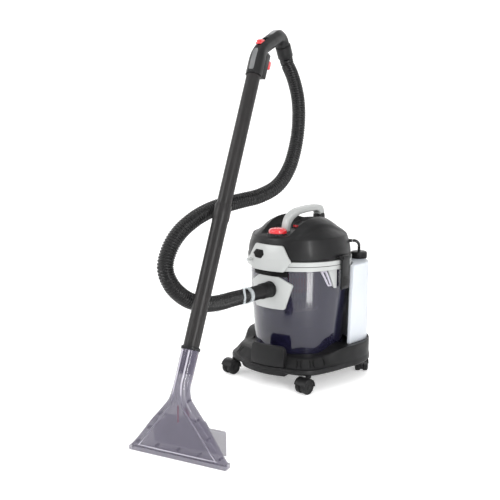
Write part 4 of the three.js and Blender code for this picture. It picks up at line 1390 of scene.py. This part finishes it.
@dataclass
class Wand:
    """The wand: clear nozzle, two tubes, and the handle with its valve and controls."""

    shop: Workshop
    points: int = 56
    lip_half: float = 138.0
    neck_radius: float = 22.0
    fan_wall: float = 2.2
    levels: tuple[tuple[float, float, float, float, float], ...] = (
        (12.4, 135, 1.0, 21, 4.0), (28, 121.5, 0.7, 25, 3.6), (45, 108, 0.5, 29, 3.2),
        (65, 93, 0.5, 32.5, 2.8),
        (85, 78, 0.5, 36, 2.4), (103, 63, 0.6, 38.5, 2.0), (120, 49, 0.8, 41, 1.6), (134, 38, 1.4, 42.5, 1.3),
        (146, 30, 2.0, 44, 1.1))

    def slot_ring(self, height: float, half: float, front: float, back: float, square: float) -> Ring:
        """Round-cornered slot at a level, wide along X."""
        ring = []
        for i in range(self.points):
            angle = 2 * math.pi * i / self.points
            c, s = math.cos(angle), math.sin(angle)
            x = half * math.copysign(abs(c) ** (1 / square), c)
            y = (front + back) / 2 + (back - front) / 2 * math.copysign(abs(s) ** (1 / square), s)
            ring.append(Vector((x, y, height)))
        return ring

    def on_stick(self, point: Vector) -> Vector:
        """Turns a point by the wand's axis into the nozzle's frame."""
        lean = Matrix.Rotation(-math.radians(PLACES.wand_lean), 4, "X")
        return lean @ point + Vector((0, PLACES.wand_foot, 0))

    def circle_ring(self, station: float, radius: float) -> Ring:
        """Circle across the wand's axis at a station, in the nozzle's frame."""
        angles = [2 * math.pi * i / self.points for i in range(self.points)]
        return [self.on_stick(Vector((radius * math.cos(a), radius * math.sin(a), station))) for a in angles]

    def fan(self, offset: float) -> list[Ring]:
        """Rings of the fan and neck, grown by an offset, smooth from level to level."""
        knots = [self.slot_ring(z, half + offset, front - offset, back + offset, square)
                 for z, half, front, back, square in self.levels]
        knots += [self.circle_ring(station, self.neck_radius + offset) for station in (196, 226, 286)]
        lines = [curve_through([knot[i] for knot in knots], 4) for i in range(self.points)]
        return [[line[k] for line in lines] for k in range(len(lines[0]))]

    def front_of(self, x: float, height: float) -> float:
        """Y of the fan's front face."""
        for low, high in zip(self.levels, self.levels[1:]):
            if height <= high[0]:
                share = (height - low[0]) / (high[0] - low[0])
                _, half, front, back, square = [a + (b - a) * share for a, b in zip(low, high)]
                break
        reach = (1 - min(abs(x) / half, 0.99) ** square) ** (1 / square)
        return (front + back) / 2 - (back - front) / 2 * reach

    def build(self) -> None:
        """Builds and dresses the wand's pieces."""
        self.build_nozzle()
        self.build_tubes()
        self.build_handle()

    def build_nozzle(self) -> None:
        """The clear fan with its ribs, screw posts, lip, guard and spray jet."""
        outer, inner = self.fan(0), self.fan(-self.fan_wall)
        shell = loft([*outer, *reversed(inner)], closed=True)
        made = solid("nozzle_fan", shell, PLACES.wand)
        window = block((-7.6, 12, 254.4), (7.6, 30, 281.6))
        combine(made, Joinery.CUT, window, place=PLACES.stick)
        mount(soften(made, 0, angle=45), NOZZLE_CLEAR, "wand", "nozzle_shell")
        self.build_ridges()
        lip = block((-self.lip_half, -1, 0), (self.lip_half, 23, 12))
        made = combine(solid("nozzle_lip_rail", lip, PLACES.wand), Joinery.CUT,
                       block((-self.lip_half + 6, 4, -1), (self.lip_half - 6, 18, 13)), place=PLACES.wand)
        mount(soften(made, 1.6, 3), NOZZLE_CLEAR, "wand", "nozzle_lip")
        sheet = [(40, 92), (43, 94), (66, 62), (65, 5), (62.5, 5), (63.4, 61)]
        guard = solid("spray_guard_sheet",
                      loft([[Vector((x, y, z)) for y, z in sheet] for x in (-104, 104)]), PLACES.wand)
        combine(guard, Joinery.CUT, block((-120, 38, 70), (-60, 60, 100)),
                block((60, 38, 70), (120, 60, 100)), place=PLACES.wand)
        mount(soften(guard, 0.6), NOZZLE_CLEAR, "wand", "spray_guard")
        refine("spray_jet", GLOSS_RED, 0.8)
        refine("nozzle_latch", GLOSS_RED, 1.2)
        path = [Vector(p) for p in ((0, 74.5, 200), (0, 66, 180), (0, 54.5, 152), (0, 50.6, 134),
                                    (0, 46.9, 114.6))]
        dress("spray_line_tube", swept(curve_through(path, 8), wire(3.0), 14), CLEAR_VINYL, "wand",
              "spray_line", place=PLACES.wand)
        spots = [Vector(spot) for spot in (
            (-118, 11, 22), (-60, 11, 22), (0, 11, 22), (60, 11, 22), (118, 11, 22), (-84, 13, 64),
            (84, 13, 64), (-52, 16, 104), (52, 16, 104), (24, 24, 146))]
        posts = self.shop.studs.run("nozzle_screw_posts", Shell(spots), PLACES.wand, Radius=3.4 * MM,
                                    Length=13 * MM, Sides=14, Material=DOLLY_BLACK.make(),
                                    Turn=(math.pi / 2, 0, math.radians(PLACES.nozzle_turn)))
        mount(posts, DOLLY_BLACK, "wand")

    def build_ridges(self) -> None:
        """Ridges that frame the fan's window and run up the neck, pale as a painted highlight, and the red
        channel inside.
        """
        for side in (1, -1):
            ridge: list[Vector] = []
            for height in (16, 30, 48, 66, 84, 102, 120, 134):
                half = next(b[1] + (a[1] - b[1]) * (b[0] - height) / (b[0] - a[0])
                            for a, b in zip(self.levels, self.levels[1:]) if height <= b[0])
                x = max(half - 22, 7.5)
                ridge.append(Vector((side * x, self.front_of(x, height) - 0.3, height)))
            for station in (196, 226, 284):
                angle = math.radians(-90 + side * 24)
                ridge.append(self.on_stick(Vector((22.3 * math.cos(angle), 22.3 * math.sin(angle), station))))
            path = curve_through(ridge, 6)
            # The ridges' pale colour is a painted highlight.
            dress("nozzle_ridge_" + ("right" if side > 0 else "left"),
                  swept(path, lambda share, angle: 1.5 + 0.8 * share, 12), PALE_CLEAR_RIDGE_HIGHLIGHT, "wand",
                  place=PLACES.wand)
        foot = [Vector((x, self.front_of(x, 17) - 0.2, 17)) for x in (-112, -56, 0, 56, 112)]
        dress("nozzle_ridge_foot", swept(curve_through(foot, 6), wire(1.5), 12), PALE_CLEAR_RIDGE_HIGHLIGHT, "wand",
              place=PLACES.wand)
        spine = [Vector((0, self.front_of(0, z) + 12, z)) for z in (92, 112, 134)]
        dress("nozzle_channel", swept(curve_through(spine, 6), wire(2.4), 12), GLOSS_RED, "wand",
              place=PLACES.wand)

    def build_tubes(self) -> None:
        """Lower and upper tube with the joint sleeve, the neck ring and the catches."""
        lower = [(17.6, 229), (19.3, 229), (19.3, 286.4), (19.9, 286.4), (20.4, 618), (21, 624), (22, 628),
                 (22, 664), (21.4, 666), (19.4, 666), (19.4, 640), (17.6, 634)]
        made = solid("lower_tube_extruded", turned(lower, 72), PLACES.stick)
        combine(made, Joinery.CUT, block((-6.6, 10, 640.4), (6.6, 30, 659.6)), place=PLACES.stick)
        mount(soften(made, 0), TUBE_BLACK, "wand", "lower_tube")
        ring = turned([(19.9, 286.6), (23.6, 286.6), (24.2, 288), (24.2, 293), (23.4, 294.4), (19.9, 294.4)],
                      72)
        dress("neck_ring", ring, SATIN_BLACK, "wand", place=PLACES.stick)
        upper = [(15.6, 642), (19, 642), (19, 1062), (16.5, 1062), (16.5, 660), (15.6, 652)]
        made = solid("upper_tube_extruded", turned(upper, 72), PLACES.stick)
        combine(made, Joinery.CUT, block((-6.6, 10, 996.4), (6.6, 30, 1023.6)), place=PLACES.stick)
        mount(soften(made, 0), TUBE_BLACK, "wand", "upper_tube")
        refine("lower_tube_button", SATIN_BLACK, 1.0)
        refine("upper_tube_button", SATIN_BLACK, 1.0)

    def build_handle(self) -> None:
        """The moulded handle with faceted sides and mid-grey strips on top that also paint the top facets'
        sheen, the valve box and the controls.
        """
        knots = [(413.6, 923.3), (424, 943.7), (434.6, 964.5), (446, 983), (464, 997), (494, 1010),
                 (528, 1023), (556, 1033), (576, 1034), (590, 1026), (598, 1014)]
        path = curve_through([Vector((0, y, z)) for y, z in knots], 8)
        lean = math.radians(PLACES.wand_lean)
        top = Vector((0, -math.cos(lean), math.sin(lean)))

        def facets(share: float, angle: float) -> float:
            """Rounded octagon: full at the sleeve, slimmer in the grip, round at the elbow."""
            sleeve, slimming, swell, crispness = 21.6, 2.6, 0.8, 16
            base = sleeve - slimming * smoothstep(share, 0.18, 0.4) + swell * math.sin(
                math.pi * smoothstep(share, 0.4, 0.9))
            reach = sum(abs(math.cos(angle - k * math.pi / 4)) ** crispness
                        for k in range(4)) ** (-1 / crispness)
            sharp = 1 - smoothstep(share, 0.75, 0.95)
            return base * (1 + (reach - 1) * sharp)

        made = solid("handle_grip_moulding", swept(path, facets, 48, top), PLACES.wand)
        grip = PLACES.wand @ Matrix.Translation((0, 448, 992)) @ Matrix.Rotation(math.radians(21.2), 4, "X")
        combine(made, Joinery.CUT, block((-9, -2, 16.5), (9, 50, 30)), block((-6, 30, 10), (6, 46, 24)),
                place=grip)
        mount(soften(made, 0, angle=24), SATIN_BLACK, "wand", "handle_grip")
        # Mid-grey strips on the grip's top facets: inlays whose grey also paints the facets' sheen.
        for name, low, high in (("sleeve", 0.03, 0.3), ("back", 0.56, 0.86)):
            rings: list[Ring] = []
            up = top
            for k, point in enumerate(path[:-1]):
                share = k / (len(path) - 1)
                ahead = (path[k + 1] - path[max(k - 1, 0)]).normalized()
                up = (up - ahead * up.dot(ahead)).normalized()
                if low <= share <= high:
                    reach = facets(share, 0.0)
                    ends = min(smoothstep(share, low - 0.01, low + 0.03),
                               smoothstep(high - share, -0.01, 0.03))
                    width = 7.2 * (0.5 + 0.5 * ends)
                    rings.append([point + up * (reach + h) + Vector((w * width, 0, 0)) for w, h in
                                  ((-1, -1), (1, -1), (0.94, 0.5), (0.6, 0.9), (-0.6, 0.9), (-0.94, 0.5))])
            strip = solid(f"handle_strip_{name}", loft(rings), PLACES.wand)
            mount(soften(strip, 0, angle=50), MID_GREY_TOP_SHEEN, "wand")
        refine("valve_box", SATIN_BLACK, 2.2)
        refine("spray_trigger", GLOSS_RED, 1.6)
        pad = solid("trigger_pad", block((-8.2, 53, 1090), (8.2, 68, 1113)), PLACES.stick)
        mount(soften(pad, 3.4, 4), GLOSS_RED, "spray_trigger")
        refine("suction_slider", GLOSS_RED, 1.0)
        refine("handle_cuff", SATIN_BLACK, 0.8)


# ---- studio ----------------------------------------------------------------------------------------
@dataclass
class Studio:
    """Camera, pale floor and soft light."""

    position: tuple[float, float, float] = (1483.0, -2011.0, 837.0)
    azimuth: float = 40.0
    pitch: float = 10.03
    lens: float = 57.6
    sensor: float = 36.0
    sky: float = 0.5
    paper_glow: float = 0.34
    paper_tooth: float = 900.0
    aim: tuple[float, float, float] = (-0.04, 0.1, 0.35)
    lamps: tuple[tuple[str, tuple[float, float, float], tuple[float, float], float], ...] = (
        ("key", (-1.6, -2.6, 2.6), (1.6, 1.6), 42.0), ("window", (2.6, -1.2, 1.4), (0.34, 2.0), 38.0),
        ("fill", (0.4, -0.4, 3.2), (2.4, 2.4), 26.0), ("low_strip", (0.714, -0.185, 0.1), (0.2, 0.2), 1.1))

    def build_camera(self) -> None:
        """A camera in front and to the right, turned down a little to the machine."""
        data = bpy.data.cameras.new("camera")
        data.lens = self.lens
        data.sensor_width = self.sensor
        camera = linked("camera", data)
        camera.location = PLACES.machine @ Vector(self.position)
        camera.rotation_euler = (math.radians(90 - self.pitch), 0, math.radians(self.azimuth))
        bpy.context.scene.camera = camera

    def build_floor(self) -> None:
        """A pale floor that turns up into a wall all round, like a studio's white cove."""
        paper = bpy.data.materials.new("matt_white_paper")
        paper.use_nodes = True
        tree = paper.node_tree
        tree.nodes.clear()
        place = add_node(tree, "ShaderNodeTexCoord").outputs["Object"]
        tooth = add_node(tree, "ShaderNodeTexNoise", {"Vector": place, "Scale": self.paper_tooth})
        bump = add_node(tree, "ShaderNodeBump", {"Height": tooth.outputs["Fac"], "Distance": 0.0001})
        skin = add_node(tree, "ShaderNodeBsdfPrincipled",
                        {"Base Color": linear("#f4f4f4"), "Roughness": 0.9, "Normal": bump.outputs[0],
                         "Emission Color": linear("#ffffff"), "Emission Strength": self.paper_glow})
        add_node(tree, "ShaderNodeOutputMaterial", {"Surface": skin.outputs[0]})
        flat, bend, top, sides = 6.0, 2.0, 8.0, 96
        arc = [math.pi / 2 * k / 12 for k in range(13)]
        profile = [(flat + bend * math.sin(a), bend * (1 - math.cos(a))) for a in arc] + [(flat + bend, top)]
        turns = [2 * math.pi * i / sides for i in range(sides)]
        points = [Vector((r * math.cos(t), r * math.sin(t), h)) for r, h in profile for t in turns]
        faces = [tuple(range(sides))]
        faces += [(k * sides + i, (k + 1) * sides + i, (k + 1) * sides + (i + 1) % sides,
                   k * sides + (i + 1) % sides) for k in range(len(profile) - 1) for i in range(sides)]
        mesh = bpy.data.meshes.new("backdrop")
        mesh.from_pydata(points, [], faces)
        mesh.materials.append(paper)
        mesh.shade_smooth()
        mesh.polygons[0].use_smooth = False
        floor = linked("backdrop", mesh)

    def build_lights(self) -> None:
        """A soft key, a window strip, a fill above, a low strip for the drum's gleam, and an even sky."""
        world = bpy.data.worlds.new("even_sky")
        world.use_nodes = True
        world.node_tree.nodes["Background"].inputs["Color"].default_value = (1, 1, 1, 1)
        world.node_tree.nodes["Background"].inputs["Strength"].default_value = self.sky
        bpy.context.scene.world = world
        bpy.context.scene.view_settings.view_transform = "Standard"
        for name, spot, size, power in self.lamps:
            data = bpy.data.lights.new(name, "AREA")
            data.shape = "RECTANGLE"
            data.size, data.size_y = size
            data.energy = power
            lamp = linked(name, data)
            lamp.location = spot
            lamp.visible_camera = False
            lamp.rotation_euler = (Vector(self.aim) - Vector(spot)).to_track_quat("-Z", "Y").to_euler()


def main() -> None:
    """Builds the sub-assemblies in order."""
    logging.basicConfig(level=logging.INFO, format="%(name)s: %(message)s")
    studio = Studio()
    studio.build_camera()
    shop = Workshop()
    Hoses(shop).build()
    dolly = Dolly()
    dolly.build()
    Drum(shop).build()
    Head(shop).build()
    Tank(shop, dolly).build()
    Wand(shop).build()
    studio.build_floor()
    studio.build_lights()


if __name__ == "__main__":
    main()
